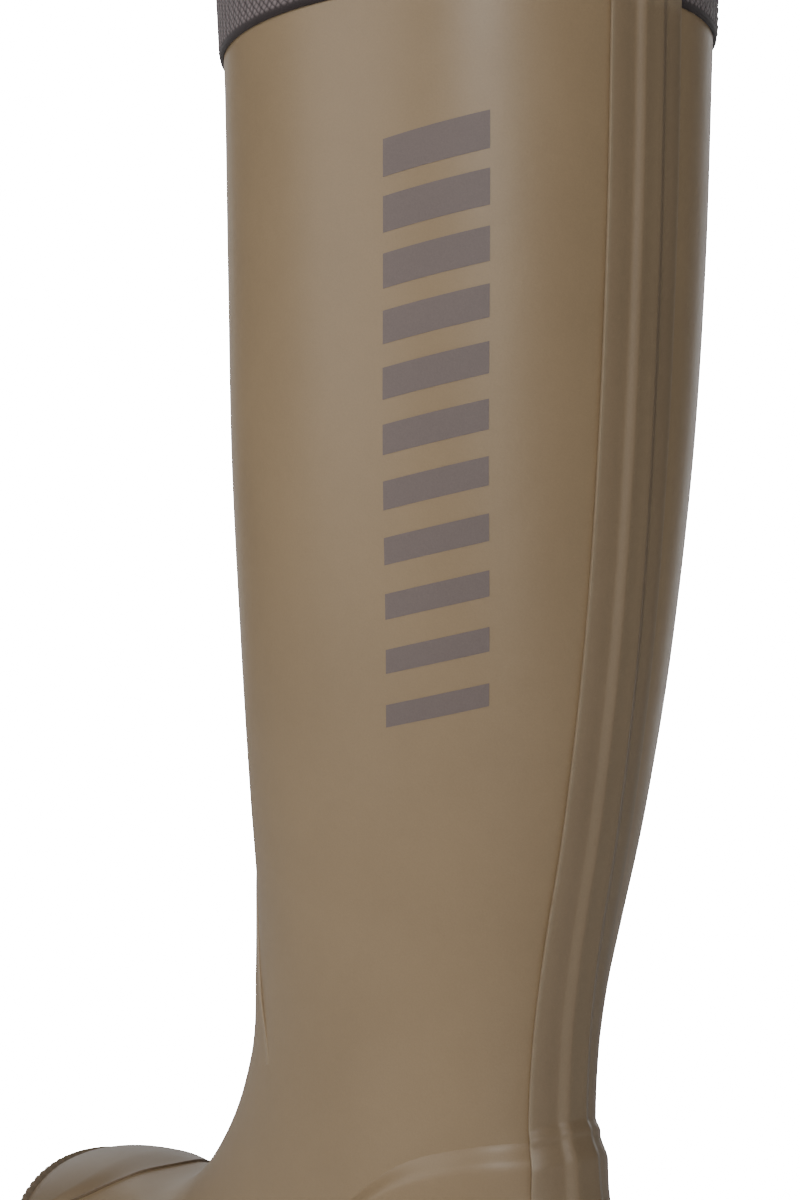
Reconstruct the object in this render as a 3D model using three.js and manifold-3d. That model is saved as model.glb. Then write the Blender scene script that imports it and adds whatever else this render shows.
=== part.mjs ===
// A tall, hand-built rubber wellington boot for the left foot, as the separate pieces it is laid up from.
// Millimetres, +Z up, toe towards -Y, outer side towards +X.
//
// Every piece of the upper is a sheet laid on one smooth last. A point of the last is found from two
// numbers: turn, the angle round the boot (0 at the toe, a quarter turn on the outer side, a half turn at
// the heel), and rise, which counts the rings of LAST_RINGS upwards from the sole to the collar.
import * as THREE from "three";
import { mergeVertices } from "three/addons/utils/BufferGeometryUtils.js";
import Module from "manifold-3d";

const wasm = await Module();
wasm.setup();

// Driving dimensions.
const BOOT_HEIGHT = 394; // ground to the collar edge, at the back
const COLLAR_DROP = 3; // how much lower the collar edge is at the front
const TOE_REACH = 205; // leg axis to the tip of the toe
const HEEL_REACH = 47; // leg axis to the back of the heel
const BALL_WIDTH = 90; // across the upper at the ball of the foot
const LEG_WIDTH = 122.6; // across the upper at the collar
const FEATHER_HEEL = 30; // ground to the feather edge, where upper and sole meet, under the heel
const FEATHER_BALL = 17;
const TOE_SPRING = 5; // rise of the feather edge from the ball to the toe tip
const TREAD_SPRING = 9; // rise of the tread from the ball to the toe tip

const CLEARANCE = 0.3; // between neighbouring pieces
const OVERLAY_CLEARANCE = 0.5; // under the toe cap and the counter, where the boot curves most
const STRIP_CLEARANCE = 0.65; // under the back strip, where it passes over the counter
const LINING_CLEARANCE = 0.5; // between the layers behind the upper
const RUBBER_WALL = 2.2;
const LINING_WALL = 1.2;
const STIFFENER_WALL = 1;
const COUNTER_WALL = 1.9;
const TOE_CAP_WALL = 1.5;
const INSTEP_WALL = 0.7;
const FOXING_WALL = 1.8;
const BUMPER_WALL = 1.7;
const BINDING_WALL = 1;
const PRINT_WALL = 0.25;
const EDGE_WALL = 0.35; // what is left of a sheet at its skived edge

const MIDSOLE_THICKNESS = 5;
const BOARD_THICKNESS = 2;
const FOOTBED_THICKNESS = 4;
const COVER_THICKNESS = 0.8;
const OUTSOLE_LIP = 1; // outsole beyond the foxing
const FOXING_RISE = 11; // foxing above the feather edge
const BUMPER_RISE = 9.5; // toe bumper above the foxing, at the toe tip
const BUMPER_END = 1.5; // and at its two ends
const BUMPER_SPREAD = 0.6; // half of the toe that the bumper covers, in radians

const BINDING_OUTSIDE = 28; // depth of the collar tape outside
const BINDING_INSIDE = 12;

const STRIP_WIDTH = 22.4;
const STRIP_WALL = 1.2;
const RIB_TOP = 5.6;
const RIB_BASE = 9.6;
const RIB_HEIGHT = 1.2;
const STRIP_OFF = 1.1; // how far the strip lies to the inner side of the middle

const COUNTER_TOP = 97; // ground to the top edge of the heel counter, at the back
const COUNTER_SPREAD = 1.85; // half of the heel that the counter covers, in radians
const COUNTER_SQUARENESS = 3.5; // how late its top edge falls towards its front corners
const COUNTER_ROLL = 9; // height over which its top edge swells to the full wall
const COUNTER_LIP = 0.12; // share of that swell already there at the edge
const COUNTER_FOOT = 4; // its front corners end this far above the foxing

const LUG_DEPTH = 4.5;
const LUG_PITCH = 16.5;
const LUG_GAP = 5;
const LUG_SLANT = 0.28; // of the forefoot's bars, which point towards the toe
const LUG_SPLIT = 17; // from the middle to each lengthwise groove
const HEEL_BREAST = -6; // front face of the heel, along Y
const WAIST_END = -48; // where the tread meets the ground again, in front of the waist
const WAIST_LIFT = 7.5; // clearance under the waist
const SHANK_SIZE = { width: 13, thickness: 1.4, back: 22, front: -68 };
const HEEL_CORE = { inset: 11, sideInset: 25, floor: 8 };

const PRINT = { top: 341, bottom: 196, width: 25, turn: 2.3, columns: 6, rows: 16 };

// The last, drawn at size 39. Each ring passes through a front point and a back point, and dips between them.
// [front y, front z, back y, back z, widest y, outer half width, inner half width, front fullness,
//  back fullness, swing of the toe to the inner side, share of the feather edge's curve, dip at the sides]
const LAST_RINGS = [
  [-200, 22, 43.5, 30, -92, 45.5, 42.5, 2.4, 2.4, 4, 1, 0],
  [-204, 30.5, 47, 42, -92, 46.5, 43.5, 2.4, 2.4, 4, 1, 3],
  [-202.5, 38.5, 45.5, 54, -88, 45, 42, 2.3, 2.3, 4, 0.7, 8],
  [-192.5, 45, 41, 65, -76, 42.5, 39, 2.2, 2.2, 3, 0.4, 14],
  [-173.5, 50, 38.5, 75, -56, 39.5, 36, 2.05, 2.1, 2, 0.2, 18.5],
  [-151, 52, 37, 84, -38, 37.8, 33.5, 2, 2, 1, 0.05, 19],
  [-128, 52.5, 36.3, 92, -26, 36.6, 32, 2, 2, 0, 0, 15],
  [-109, 63, 36, 101, -19, 36, 31.3, 2, 2, 0, 0, 9],
  [-90.5, 83, 36.2, 110, -16, 36, 31.5, 2, 2, 0, 0, 5],
  [-79, 104, 37, 121, -16, 36.8, 33.5, 2, 2, 0, 0, 2],
  [-73.2, 124, 38.3, 132, -16, 38.4, 36.6, 2, 2, 0, 0, 1],
  [-70.4, 146, 41.2, 148, -14.5, 41, 40.6, 2, 2, 0, 0, 0],
  [-69.8, 175, 47, 175, -11.4, 45.5, 45.5, 2, 2, 0, 0, 0],
  [-69.3, 215, 53.4, 215, -8, 51, 51, 2, 2, 0, 0, 0],
  [-68, 260, 57.8, 260, -5, 56, 56, 2, 2, 0, 0, 0],
  [-67, 310, 60.7, 310, -3, 58.6, 58.6, 2, 2, 0, 0, 0],
  [-66.8, 355, 62, 355.7, -2.3, 60, 60, 2, 2, 0, 0, 0],
  [-69, 391, 62.6, 394, -3, 61.3, 61.3, 2, 2, 0, 0, 0],
];
const DRAWN = { toe: 205, heel: 47, ball: 90, leg: 122.6, height: 394, drop: 3, feather: 30 };
const ANKLE_RING = 8; // rings from here up belong to the leg
const COLLAR = LAST_RINGS.length - 1;
const WAIST = { along: 0.62, spread: 0.15, depth: 0.13 };
const FEATHER_RAMP = { front: -62, length: 70 }; // along Y, where the feather edge climbs from ball to heel
const FEATHER_SPRING = -104; // along Y, where the feather edge starts to rise towards the toe
const TREAD_SPRING_START = -120;
const ARCH_END = 0.62; // share of the waist's arch that is left before the heel breast
const GRADE_HEIGHT = 70; // above this height a taller boot is taller, below it the foot keeps its height

const HALF_TURN = Math.PI;
const FULL_TURN = 2 * Math.PI;

const clamp = (x, low = 0, high = 1) => Math.min(high, Math.max(low, x));
const mix = (a, b, t) => a + (b - a) * t;
const smooth = (x) => clamp(x) ** 2 * (3 - 2 * clamp(x));

// The feather edge and the tread, as heights along the boot.
function featherHeight(y) {
  const heelward = smooth((y - FEATHER_RAMP.front) / FEATHER_RAMP.length);
  const toeward = clamp((FEATHER_SPRING - y) / (TOE_REACH + FEATHER_SPRING)) ** 2;
  return mix(FEATHER_BALL, FEATHER_HEEL, heelward) + TOE_SPRING * toeward;
}

function treadHeight(y) {
  if (y > HEEL_BREAST) return 0;
  const arch = clamp((y - WAIST_END) / (HEEL_BREAST - WAIST_END), 0, ARCH_END);
  const toeward = clamp((TREAD_SPRING_START - y) / (TOE_REACH + TREAD_SPRING_START)) ** 2;
  return WAIST_LIFT * Math.sin(HALF_TURN * arch) + TREAD_SPRING * toeward;
}

// The rings at this boot's own sizes, as a boot of another size is graded from the drawn last.
const rings = LAST_RINGS.map((drawn, k) => {
  const [fy, fz, by, bz, wy, outer, inner, ...shape] = drawn;
  const legShare = smooth((k - ANKLE_RING + 3) / 6);
  const foot = TOE_REACH / DRAWN.toe;
  const heel = HEEL_REACH / DRAWN.heel;
  const leg = LEG_WIDTH / DRAWN.leg;
  const wide = mix(BALL_WIDTH / DRAWN.ball, leg, legShare);
  const lift = (z, edge) => {
    const drawnTop = DRAWN.height - edge * DRAWN.drop;
    const top = BOOT_HEIGHT - edge * COLLAR_DROP;
    const sole = FEATHER_HEEL - DRAWN.feather;
    const above = clamp((z - GRADE_HEIGHT) / (drawnTop - GRADE_HEIGHT));
    return z + sole + (top - drawnTop - sole) * above;
  };
  return [
    fy * mix(foot, leg, legShare), lift(fz, 1), by * mix(heel, leg, legShare), lift(bz, 0),
    wy * mix(foot, leg, legShare), outer * wide, inner * wide, ...shape,
  ];
});

// Catmull-Rom through the rings, so that every ring number has a ring.
function ringAt(rise) {
  const k = clamp(Math.floor(rise), 0, COLLAR - 1);
  const t = rise - k;
  const at = (i, j) => {
    if (i < 0) return 2 * rings[0][j] - rings[1][j];
    if (i > COLLAR) return 2 * rings[COLLAR][j] - rings[COLLAR - 1][j];
    return rings[i][j];
  };
  return rings[k].map((_, j) => {
    const [a, b, c, d] = [at(k - 1, j), at(k, j), at(k + 1, j), at(k + 2, j)];
    return b + 0.5 * t * (c - a + t * (2 * a - 5 * b + 4 * c - d + t * (3 * (b - c) + d - a)));
  });
}

function lastPoint(turn, rise) {
  const [fy, fz, by, bz, wy, outer, inner, frontFull, backFull, swing, feather, dip] = ringAt(rise);
  const [c, s] = [Math.cos(turn), Math.sin(turn)];
  const full = c > 0 ? frontFull : backFull;
  const along = Math.sign(c) * Math.abs(c) ** (2 / full);
  const across = Math.sign(s) * Math.abs(s) ** (2 / full);
  const y = along > 0 ? mix(wy, fy, along) : mix(wy, by, -along);
  const share = (y - fy) / (by - fy);
  const waist = 1 - feather * WAIST.depth * Math.exp(-(((share - WAIST.along) / WAIST.spread) ** 2));
  const toeShare = clamp((wy - y) / (wy - fy));
  const x = across * waist * (s > 0 ? outer : inner) - swing * toeShare ** 3;
  const chord = mix(rings[0][1], rings[0][3], share);
  const z = mix(fz, bz, share) + feather * (featherHeight(y) - chord) - dip * s * s;
  return new THREE.Vector3(x, y, z);
}

function lastNormal(turn, rise) {
  const [dt, dr] = [0.02, 0.02];
  const low = Math.max(rise - dr, 0);
  const high = Math.min(rise + dr, COLLAR);
  const round = lastPoint(turn + dt, rise).sub(lastPoint(turn - dt, rise));
  const up = lastPoint(turn, high).sub(lastPoint(turn, low));
  return round.cross(up).normalize();
}

const laid = (turn, rise, offset) => lastPoint(turn, rise).addScaledVector(lastNormal(turn, rise), offset);

// The ring number on one meridian where it passes a height.
function riseAt(turn, height) {
  let [low, high] = [0, COLLAR];
  for (let i = 0; i < 30; i++) {
    const middle = (low + high) / 2;
    if (lastPoint(turn, middle).z < height) low = middle;
    else high = middle;
  }
  return (low + high) / 2;
}

// A point beside the feather edge: depth below or above the edge, and offset out from the upper.
function besideFeather(turn, height, offset) {
  const edge = lastPoint(turn, 0);
  if (height > 0) return laid(turn, riseAt(turn, edge.z + height), offset);
  const out = lastNormal(turn, 0).setZ(0).normalize();
  edge.addScaledVector(out, offset);
  return edge.setZ(featherHeight(edge.y) + height);
}

// A point at the collar: depth below the edge, or above it where depth is negative.
function besideCollar(turn, depth, offset) {
  const edge = lastPoint(turn, COLLAR);
  if (depth > 0) return laid(turn, riseAt(turn, edge.z - depth), offset);
  const up = edge.clone().sub(lastPoint(turn, COLLAR - 0.2)).normalize();
  return laid(turn, COLLAR, offset).addScaledVector(up, -depth);
}

// Solids. A grid is rows of points; an outer and an inner grid make a closed sheet.
function meshOf(points, faces) {
  const geometry = new THREE.BufferGeometry();
  geometry.setAttribute("position", new THREE.Float32BufferAttribute(points.flatMap((p) => p.toArray()), 3));
  geometry.setIndex(faces.flat());
  return geometry;
}

function volumeOf(points, faces) {
  return faces.reduce((sum, [a, b, c]) => sum + points[a].dot(points[b].clone().cross(points[c])) / 6, 0);
}

function closedMesh(points, quads) {
  const faces = quads.flatMap(([a, b, c, d]) => [[a, b, c], [a, c, d]]);
  const turned = faces.map(([a, b, c]) => [a, c, b]);
  return meshOf(points, volumeOf(points, faces) < 0 ? turned : faces);
}

// A sheet between two grids of the same size. A ring's rows close on themselves.
function sheet(outer, inner, ring) {
  const rows = outer.length;
  const columns = outer[0].length;
  const points = [...outer.flat(), ...inner.flat()];
  const at = (side, i, j) => side * rows * columns + (i % rows) * columns + j;
  const last = columns - 1;
  const quads = [];
  const lastRow = ring ? rows : rows - 1;
  for (let i = 0; i < lastRow; i++) {
    for (let j = 0; j < columns - 1; j++) {
      quads.push([at(0, i, j), at(0, i + 1, j), at(0, i + 1, j + 1), at(0, i, j + 1)]);
      quads.push([at(1, i, j), at(1, i, j + 1), at(1, i + 1, j + 1), at(1, i + 1, j)]);
    }
    quads.push([at(0, i, 0), at(1, i, 0), at(1, i + 1, 0), at(0, i + 1, 0)]);
    quads.push([at(0, i, last), at(0, i + 1, last), at(1, i + 1, last), at(1, i, last)]);
  }
  for (let j = 0; j < columns - 1 && !ring; j++) {
    quads.push([at(0, 0, j), at(0, 0, j + 1), at(1, 0, j + 1), at(1, 0, j)]);
    quads.push([at(0, rows - 1, j), at(1, rows - 1, j), at(1, rows - 1, j + 1), at(0, rows - 1, j + 1)]);
  }
  return closedMesh(points, quads);
}

// A tube of a closed section carried round the boot.
function hoop(sections) {
  const columns = sections[0].length;
  const at = (i, j) => (i % sections.length) * columns + (j % columns);
  const quads = [];
  sections.forEach((section, i) =>
    section.forEach((_, j) => quads.push([at(i, j), at(i + 1, j), at(i + 1, j + 1), at(i, j + 1)])));
  return closedMesh(sections.flat(), quads);
}

const shares = (count) => Array.from({ length: count + 1 }, (_, i) => i / count);
const grid = (rows, columns, place) => shares(rows).map((s) => shares(columns).map((t) => place(s, t)));

// Turns of a whole loop, half a step off the toe, so that they mirror across the boot.
const loopTurns = (count) => Array.from({ length: count }, (_, i) => ((i + 0.5) * FULL_TURN) / count);

// A flat layer of the sole: a loop of the outline, filled by rungs from side to side.
function layer(count, across, outline, top, bottom) {
  const turns = loopTurns(count).slice(0, count / 2);
  const rungs = (height) => turns.map((turn) => Array.from({ length: across + 1 }, (_, j) => {
    const point = outline(turn).lerp(outline(-turn), j / across);
    return point.setZ(height(point.y, j / across));
  }));
  return sheet(rungs(top), rungs(bottom), false);
}

// Booleans.
function solidOf(geometry) {
  const bare = new THREE.BufferGeometry();
  bare.setAttribute("position", geometry.getAttribute("position"));
  bare.setIndex(geometry.index);
  const merged = mergeVertices(bare, 1e-4);
  return new wasm.Manifold(new wasm.Mesh({
    numProp: 3,
    vertProperties: merged.attributes.position.array,
    triVerts: new Uint32Array(merged.index.array),
  }));
}

function geometryOf(solid) {
  const mesh = solid.getMesh();
  const geometry = new THREE.BufferGeometry();
  geometry.setAttribute("position", new THREE.BufferAttribute(new Float32Array(mesh.vertProperties), 3));
  geometry.setIndex(new THREE.BufferAttribute(new Uint32Array(mesh.triVerts), 1));
  return geometry;
}

function prism(shape, low, high) {
  const geometry = new THREE.ExtrudeGeometry(shape, { depth: high - low, bevelEnabled: false });
  geometry.deleteAttribute("normal");
  geometry.deleteAttribute("uv");
  geometry.translate(0, 0, low);
  return solidOf(mergeVertices(geometry, 1e-4));
}

// What the counter, the toe cap and the instep patch add to the upper, for the pieces laid over them.
const counterTurn = (turn) => Math.abs(turn - HALF_TURN) / COUNTER_SPREAD;
const counterHeight = (turn) => {
  const edge = lastPoint(turn, 0).z + FOXING_RISE + COUNTER_FOOT;
  return mix(COUNTER_TOP, edge, clamp(counterTurn(turn)) ** COUNTER_SQUARENESS);
};

function counterSwell(turn, height) {
  const inward = counterHeight(turn) - height;
  const side = smooth((1 - counterTurn(turn)) * 5);
  return COUNTER_WALL * smooth(inward / COUNTER_ROLL + COUNTER_LIP) * side;
}

const toeTurn = (turn) => Math.abs(turn > HALF_TURN ? turn - FULL_TURN : turn);
const CAP = { spread: 0.86, top: 4.5, foot: 0.5, end: 0.35, rows: 12 };
const capRise = (turn) => {
  const arch = Math.sqrt(1 - clamp(toeTurn(turn) / CAP.spread) ** 2);
  return CAP.foot + CAP.end + CAP.top * arch;
};

// Pieces of the upper.
const LEG_JOIN = 10; // the ring where the leg's rubber and lining are joined to the foot's
const ringSpacing = lastPoint(0, LEG_JOIN + 0.5).distanceTo(lastPoint(0, LEG_JOIN - 0.5));
const joinGap = (2 * CLEARANCE) / ringSpacing; // in rings

// The upper's own rings crowd together where the boot curves most, and the sheets over it share them.
const steps = (low, high, count) => Array.from({ length: count }, (_, i) => mix(low, high, i / count));
const FOOT_SHELL_RISES = [...steps(0, 6, 12), ...steps(6, 9, 12), 9, 9.5, LEG_JOIN];
const LEG_SHELL_RISES = [LEG_JOIN + joinGap, LEG_JOIN + 0.5, ...steps(LEG_JOIN + 1, COLLAR, 6), COLLAR];
const SHELL_RISES = [...FOOT_SHELL_RISES, ...LEG_SHELL_RISES];
const FOOT_RISES = [...steps(0, 6, 6), ...steps(6, 9, 9), ...steps(9, LEG_JOIN, 2), LEG_JOIN];
const LEG_RISES = LEG_SHELL_RISES.map((rise, i) => (i === 0 ? rise + joinGap : rise));
const SHELL_TURNS = loopTurns(44);
const TOE_TURNS = SHELL_TURNS.map((turn) => turn - HALF_TURN); // the same turns, with the toe in the middle
const FOOT_TURNS = loopTurns(32);
const FOOT_TOE_TURNS = FOOT_TURNS.map((turn) => turn - HALF_TURN);

const between = (list, low, high) => {
  const room = (list[1] - list[0]) / 16;
  return [low, ...list.filter((value) => value > low + room && value < high - room), high];
};

// The same, with more of them near both ends, where a rounded edge turns quickly.
function crowded(list, low, high) {
  const ends = [0.008, 0.025, 0.055].flatMap((share) => [mix(low, high, share), mix(high, low, share)]);
  const kept = between(list, mix(low, high, 0.09), mix(high, low, 0.09));
  return [low, ...ends, ...kept, high].sort((a, b) => a - b);
}

function ringSheet(turns, rises, outer, inner) {
  const column = (place) => turns.map((turn) => rises.map((rise) => place(turn, rise)));
  return sheet(column(outer), column(inner), true);
}

function patch(turns, rows, outer, inner) {
  const column = (place) => turns.map((turn) => shares(rows).map((t) => place(turn, t)));
  return sheet(column(outer), column(inner), false);
}

function shell(rises) {
  const place = (offset) => (turn, rise) => laid(turn, rise, offset);
  return ringSheet(SHELL_TURNS, rises, place(0), place(-RUBBER_WALL));
}

// 1 behind a stiffener, 0 away from it.
const zone = (turn, rise, middle, { spread, top }) => {
  const away = Math.abs(Math.atan2(Math.sin(turn - middle), Math.cos(turn - middle)));
  return smooth((spread + ZONE_MARGIN.turn - away) * 4) * smooth((top + ZONE_MARGIN.rise - rise) * 1.2);
};
const PUFF = { spread: 1, top: 5.2 };
const STIFFENER = { spread: 1.25, top: 6 };
const ZONE_MARGIN = { turn: 0.35, rise: 1.1 };

// Depth of the lining's outer face below the upper's outer face, with room for the stiffeners.
function liningDepth(turn, rise) {
  const behind = Math.max(zone(turn, rise, 0, PUFF), zone(turn, rise, HALF_TURN, STIFFENER));
  return RUBBER_WALL + LINING_CLEARANCE + (STIFFENER_WALL + LINING_CLEARANCE) * behind;
}

function lining(turns, rises, lowest) {
  const place = (extra) => (turn, rise) => {
    const kept = Math.max(rise, lowest(turn));
    return laid(turn, kept, -liningDepth(turn, kept) - extra);
  };
  return ringSheet(turns, rises, place(0), place(LINING_WALL));
}

const boardTop = (turn) => riseAt(turn, lastPoint(turn, 0).z + BOARD_THICKNESS + CLEARANCE);

// A stiffener between the upper and the lining.
function stiffener(allTurns, middle, { spread, top }) {
  const turns = between(allTurns, middle - spread, middle + spread);
  const rises = between(FOOT_RISES, 0, top);
  const place = (extra) => turns.map((turn) => rises.map((rise) =>
    laid(turn, Math.max(rise, boardTop(turn)), -RUBBER_WALL - LINING_CLEARANCE - extra)));
  return sheet(place(0), place(STIFFENER_WALL), false);
}

// Pieces laid over the upper.
const COUNTER_ROWS = 15;
function heelCounter() {
  const turns = crowded(SHELL_TURNS, HALF_TURN - COUNTER_SPREAD, HALF_TURN + COUNTER_SPREAD);
  const place = (outer) => (turn, t) => {
    const height = mix(lastPoint(turn, 0).z, counterHeight(turn), t);
    const wall = outer ? EDGE_WALL + counterSwell(turn, height) * (1 - EDGE_WALL / COUNTER_WALL) : 0;
    return laid(turn, riseAt(turn, height), OVERLAY_CLEARANCE + wall);
  };
  return patch(turns, COUNTER_ROWS, place(true), place(false));
}

// The toe cap: its rear edge is an arch, highest over the toes.
function toeCap() {
  const place = (outer) => (turn, t) => {
    const edge = smooth((1 - t) * 5) * smooth((1 - Math.abs(turn) / CAP.spread) * 8);
    const wall = outer ? mix(EDGE_WALL, TOE_CAP_WALL, edge) : 0;
    return laid(turn, mix(CAP.foot, capRise(turn), t), OVERLAY_CLEARANCE + wall);
  };
  return patch(crowded(TOE_TURNS, -CAP.spread, CAP.spread), CAP.rows, place(true), place(false));
}

// How far the cap and the counter stand out, for the tapes that are wrapped over them. Each tape leaves
// them by a slope that starts a little past their ends.
const OVERRUN = { cap: 0.28, capSlope: 8, counter: 0.07, counterSlope: 14 };
function overlayTop(turn) {
  const cap = smooth((CAP.spread + OVERRUN.cap - toeTurn(turn)) * OVERRUN.capSlope);
  const counter = smooth((1 + OVERRUN.counter - counterTurn(turn)) * OVERRUN.counterSlope);
  const capDepth = TOE_CAP_WALL + OVERLAY_CLEARANCE + CLEARANCE;
  const counterDepth = COUNTER_WALL + OVERLAY_CLEARANCE;
  return Math.max(cap * capDepth, counter * counterDepth);
}

// The instep patch: an arch over the front of the ankle, from the vamp up to the shin.
const INSTEP = { low: 8.6, corner: 10.6, high: 12.05, spread: 1.34, foot: 0.25, columns: 16, rows: 12 };
const INSTEP_NARROWING = { from: 0.9, to: 0.52, start: 8, length: 4 };
function instepPatch() {
  const place = (outer) => (s, t) => {
    const side = 2 * s - 1;
    const crown = Math.sqrt(1 - 0.9 * side ** 2);
    const rise = mix(INSTEP.low + INSTEP.foot * side ** 2, mix(INSTEP.corner, INSTEP.high, crown), t);
    const upward = smooth((rise - INSTEP_NARROWING.start) / INSTEP_NARROWING.length);
    const turn = INSTEP.spread * side * mix(INSTEP_NARROWING.from, INSTEP_NARROWING.to, upward);
    const edge = smooth((1 - t) * 6) * smooth(t * 6) * smooth((1 - Math.abs(side)) * 5);
    return laid(turn, rise, CLEARANCE + (outer ? mix(EDGE_WALL, INSTEP_WALL, edge) : 0));
  };
  const face = (outer) => grid(INSTEP.columns, INSTEP.rows, place(outer));
  return sheet(face(true), face(false), false);
}

// The back strip: two flanges and a flat-topped rib, over the counter and up to the collar tape.
const FLANGE_EDGE = 0.85; // the strip's wall at its two edges
const HALF_SECTION = [
  [STRIP_WIDTH / 2, FLANGE_EDGE], [RIB_BASE / 2 + 2, STRIP_WALL], [RIB_BASE / 2, STRIP_WALL],
  [RIB_TOP / 2, STRIP_WALL + RIB_HEIGHT],
];
const STRIP_SECTION = [
  ...HALF_SECTION.map(([sideways, wall]) => [-sideways, wall]), [0, STRIP_WALL + RIB_HEIGHT],
  ...HALF_SECTION.toReversed(),
];
const perRadian = (turn, rise) => lastPoint(turn + 0.05, rise).distanceTo(lastPoint(turn - 0.05, rise)) / 0.1;

// Depth of the strip's inner face: it climbs over the counter, with a step down past the counter's top edge.
const STRIP_STEP = { above: 4, length: 3 };
function underStrip(height) {
  const step = smooth((COUNTER_TOP + STRIP_STEP.above - height) / STRIP_STEP.length);
  const counter = counterSwell(HALF_TURN, Math.min(height, COUNTER_TOP));
  return mix(CLEARANCE, OVERLAY_CLEARANCE + STRIP_CLEARANCE + EDGE_WALL, step) + counter;
}

function backStrip() {
  const low = riseAt(HALF_TURN, lastPoint(HALF_TURN, 0).z + FOXING_RISE + CLEARANCE);
  const high = riseAt(HALF_TURN, BOOT_HEIGHT - BINDING_OUTSIDE - CLEARANCE);
  const foot = lastPoint(HALF_TURN, 0).z;
  const overCounter = steps(foot, COUNTER_TOP, COUNTER_ROWS).map((height) => riseAt(HALF_TURN, height));
  const overStep = [0.5, 2.5, 4.5].map((above) => riseAt(HALF_TURN, COUNTER_TOP + above));
  const plain = SHELL_RISES.filter((rise) => rise > overStep[2] + 0.1);
  const rises = between([...overCounter, ...overStep, ...plain], low, high);
  const place = (outer) => STRIP_SECTION.map(([sideways, wall]) => rises.map((rise) => {
    const turn = HALF_TURN - (sideways - STRIP_OFF) / perRadian(HALF_TURN, rise);
    return laid(turn, rise, underStrip(lastPoint(HALF_TURN, rise).z) + (outer ? wall : 0));
  }));
  return sheet(place(true), place(false), false);
}

// Foxing: the tape that covers the join between upper and sole.
function foxingStrip() {
  const heights = [-MIDSOLE_THICKNESS, 0, FOXING_RISE * 0.4, FOXING_RISE * 0.8, FOXING_RISE];
  const place = (wall) => (turn, height) => {
    const thinned = wall * mix(1, 0.7, smooth((height / FOXING_RISE) * 4 - 3));
    return besideFeather(turn, height, overlayTop(turn) + CLEARANCE + thinned);
  };
  return ringSheet(SHELL_TURNS, heights, place(FOXING_WALL), place(0));
}

function toeBumper() {
  const turns = between(TOE_TURNS, -BUMPER_SPREAD, BUMPER_SPREAD);
  const place = (outer) => (turn, t) => {
    const crown = mix(BUMPER_END, BUMPER_RISE, 1 - (turn / BUMPER_SPREAD) ** 2);
    const height = FOXING_RISE + CLEARANCE + crown * t;
    const wall = outer ? BUMPER_WALL * mix(1, 0.6, smooth(t * 4 - 3)) : 0;
    return besideFeather(turn, height, overlayTop(turn) + CLEARANCE + wall);
  };
  return patch(turns, 4, place(true), place(false));
}

// The collar tape: a U over the edge of rubber and lining.
function topBinding() {
  const inside = RUBBER_WALL + LINING_CLEARANCE + LINING_WALL + CLEARANCE;
  const wall = BINDING_WALL;
  const outside = [[BINDING_OUTSIDE, CLEARANCE], [BINDING_OUTSIDE, CLEARANCE + wall],
    [BINDING_OUTSIDE / 2, CLEARANCE + wall], [0, CLEARANCE + wall]];
  const over = [[-CLEARANCE - wall * 0.8, CLEARANCE], [-CLEARANCE - wall, -inside / 2],
    [-CLEARANCE - wall * 0.8, -inside], [0, -inside - wall]];
  const within = [[BINDING_INSIDE, -inside - wall], [BINDING_INSIDE, -inside], [-CLEARANCE, -inside],
    [-CLEARANCE, CLEARANCE], [BINDING_OUTSIDE / 2, CLEARANCE]];
  const section = [...outside, ...over, ...within];
  return hoop(SHELL_TURNS.map((turn) => section.map(([depth, offset]) => besideCollar(turn, depth, offset))));
}

// The carrier of the printed transfer on the outer side.
function legPrint() {
  const half = PRINT.width / 2;
  const place = (wall) => (s, t) => {
    const height = mix(PRINT.bottom, PRINT.top, t);
    const rise = riseAt(PRINT.turn, height);
    return laid(PRINT.turn + (half * (2 * s - 1)) / perRadian(PRINT.turn, rise), rise, CLEARANCE + wall);
  };
  const face = (wall) => grid(PRINT.columns, PRINT.rows, place(wall));
  return sheet(face(PRINT_WALL), face(0), false);
}

// Pieces of the sole, from the inside out.
function outlineAt(offset, height = 0) {
  return (turn) => besideFeather((turn + FULL_TURN) % FULL_TURN, height, offset);
}

function insoleBoard() {
  const outline = outlineAt(-RUBBER_WALL - CLEARANCE);
  return layer(SOLE_TURNS, 2, outline, (y) => featherHeight(y) + BOARD_THICKNESS, featherHeight);
}

const BED_FLOOR = BOARD_THICKNESS + CLEARANCE;
const BED_INSET = RUBBER_WALL + STIFFENER_WALL + LINING_WALL + 4 * LINING_CLEARANCE;
const SOLE_TURNS = SHELL_TURNS.length;
const CUP = { rise: 2, across: 6 }; // how far the footbed's rim stands above its middle
const bedHeight = (height) => (y, s) => featherHeight(y) + BED_FLOOR + height + CUP.rise * (2 * s - 1) ** 4;
const bedOutline = outlineAt(-BED_INSET, BED_FLOOR);

function footbed() {
  const flat = (y) => featherHeight(y) + BED_FLOOR;
  return layer(SOLE_TURNS, CUP.across, bedOutline, bedHeight(FOOTBED_THICKNESS), flat);
}

function footbedCover() {
  const underside = FOOTBED_THICKNESS + CLEARANCE;
  const [top, bottom] = [bedHeight(underside + COVER_THICKNESS), bedHeight(underside)];
  return layer(SOLE_TURNS, CUP.across, bedOutline, top, bottom);
}

// A strip along the middle of the foot, between two heights above the feather edge.
function spineStrip({ width, back, front }, low, high, steps = 14) {
  const place = (height) => grid(1, steps, (s, t) => {
    const y = mix(front, back, t);
    return new THREE.Vector3(width * (s - 0.5), y, featherHeight(y) + height);
  });
  return sheet(place(high), place(low), false);
}

const SHANK_SEAT = SHANK_SIZE.thickness + 2 * CLEARANCE;
function shank() {
  return spineStrip(SHANK_SIZE, -CLEARANCE * 2 - SHANK_SIZE.thickness, -CLEARANCE * 2);
}

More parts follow.
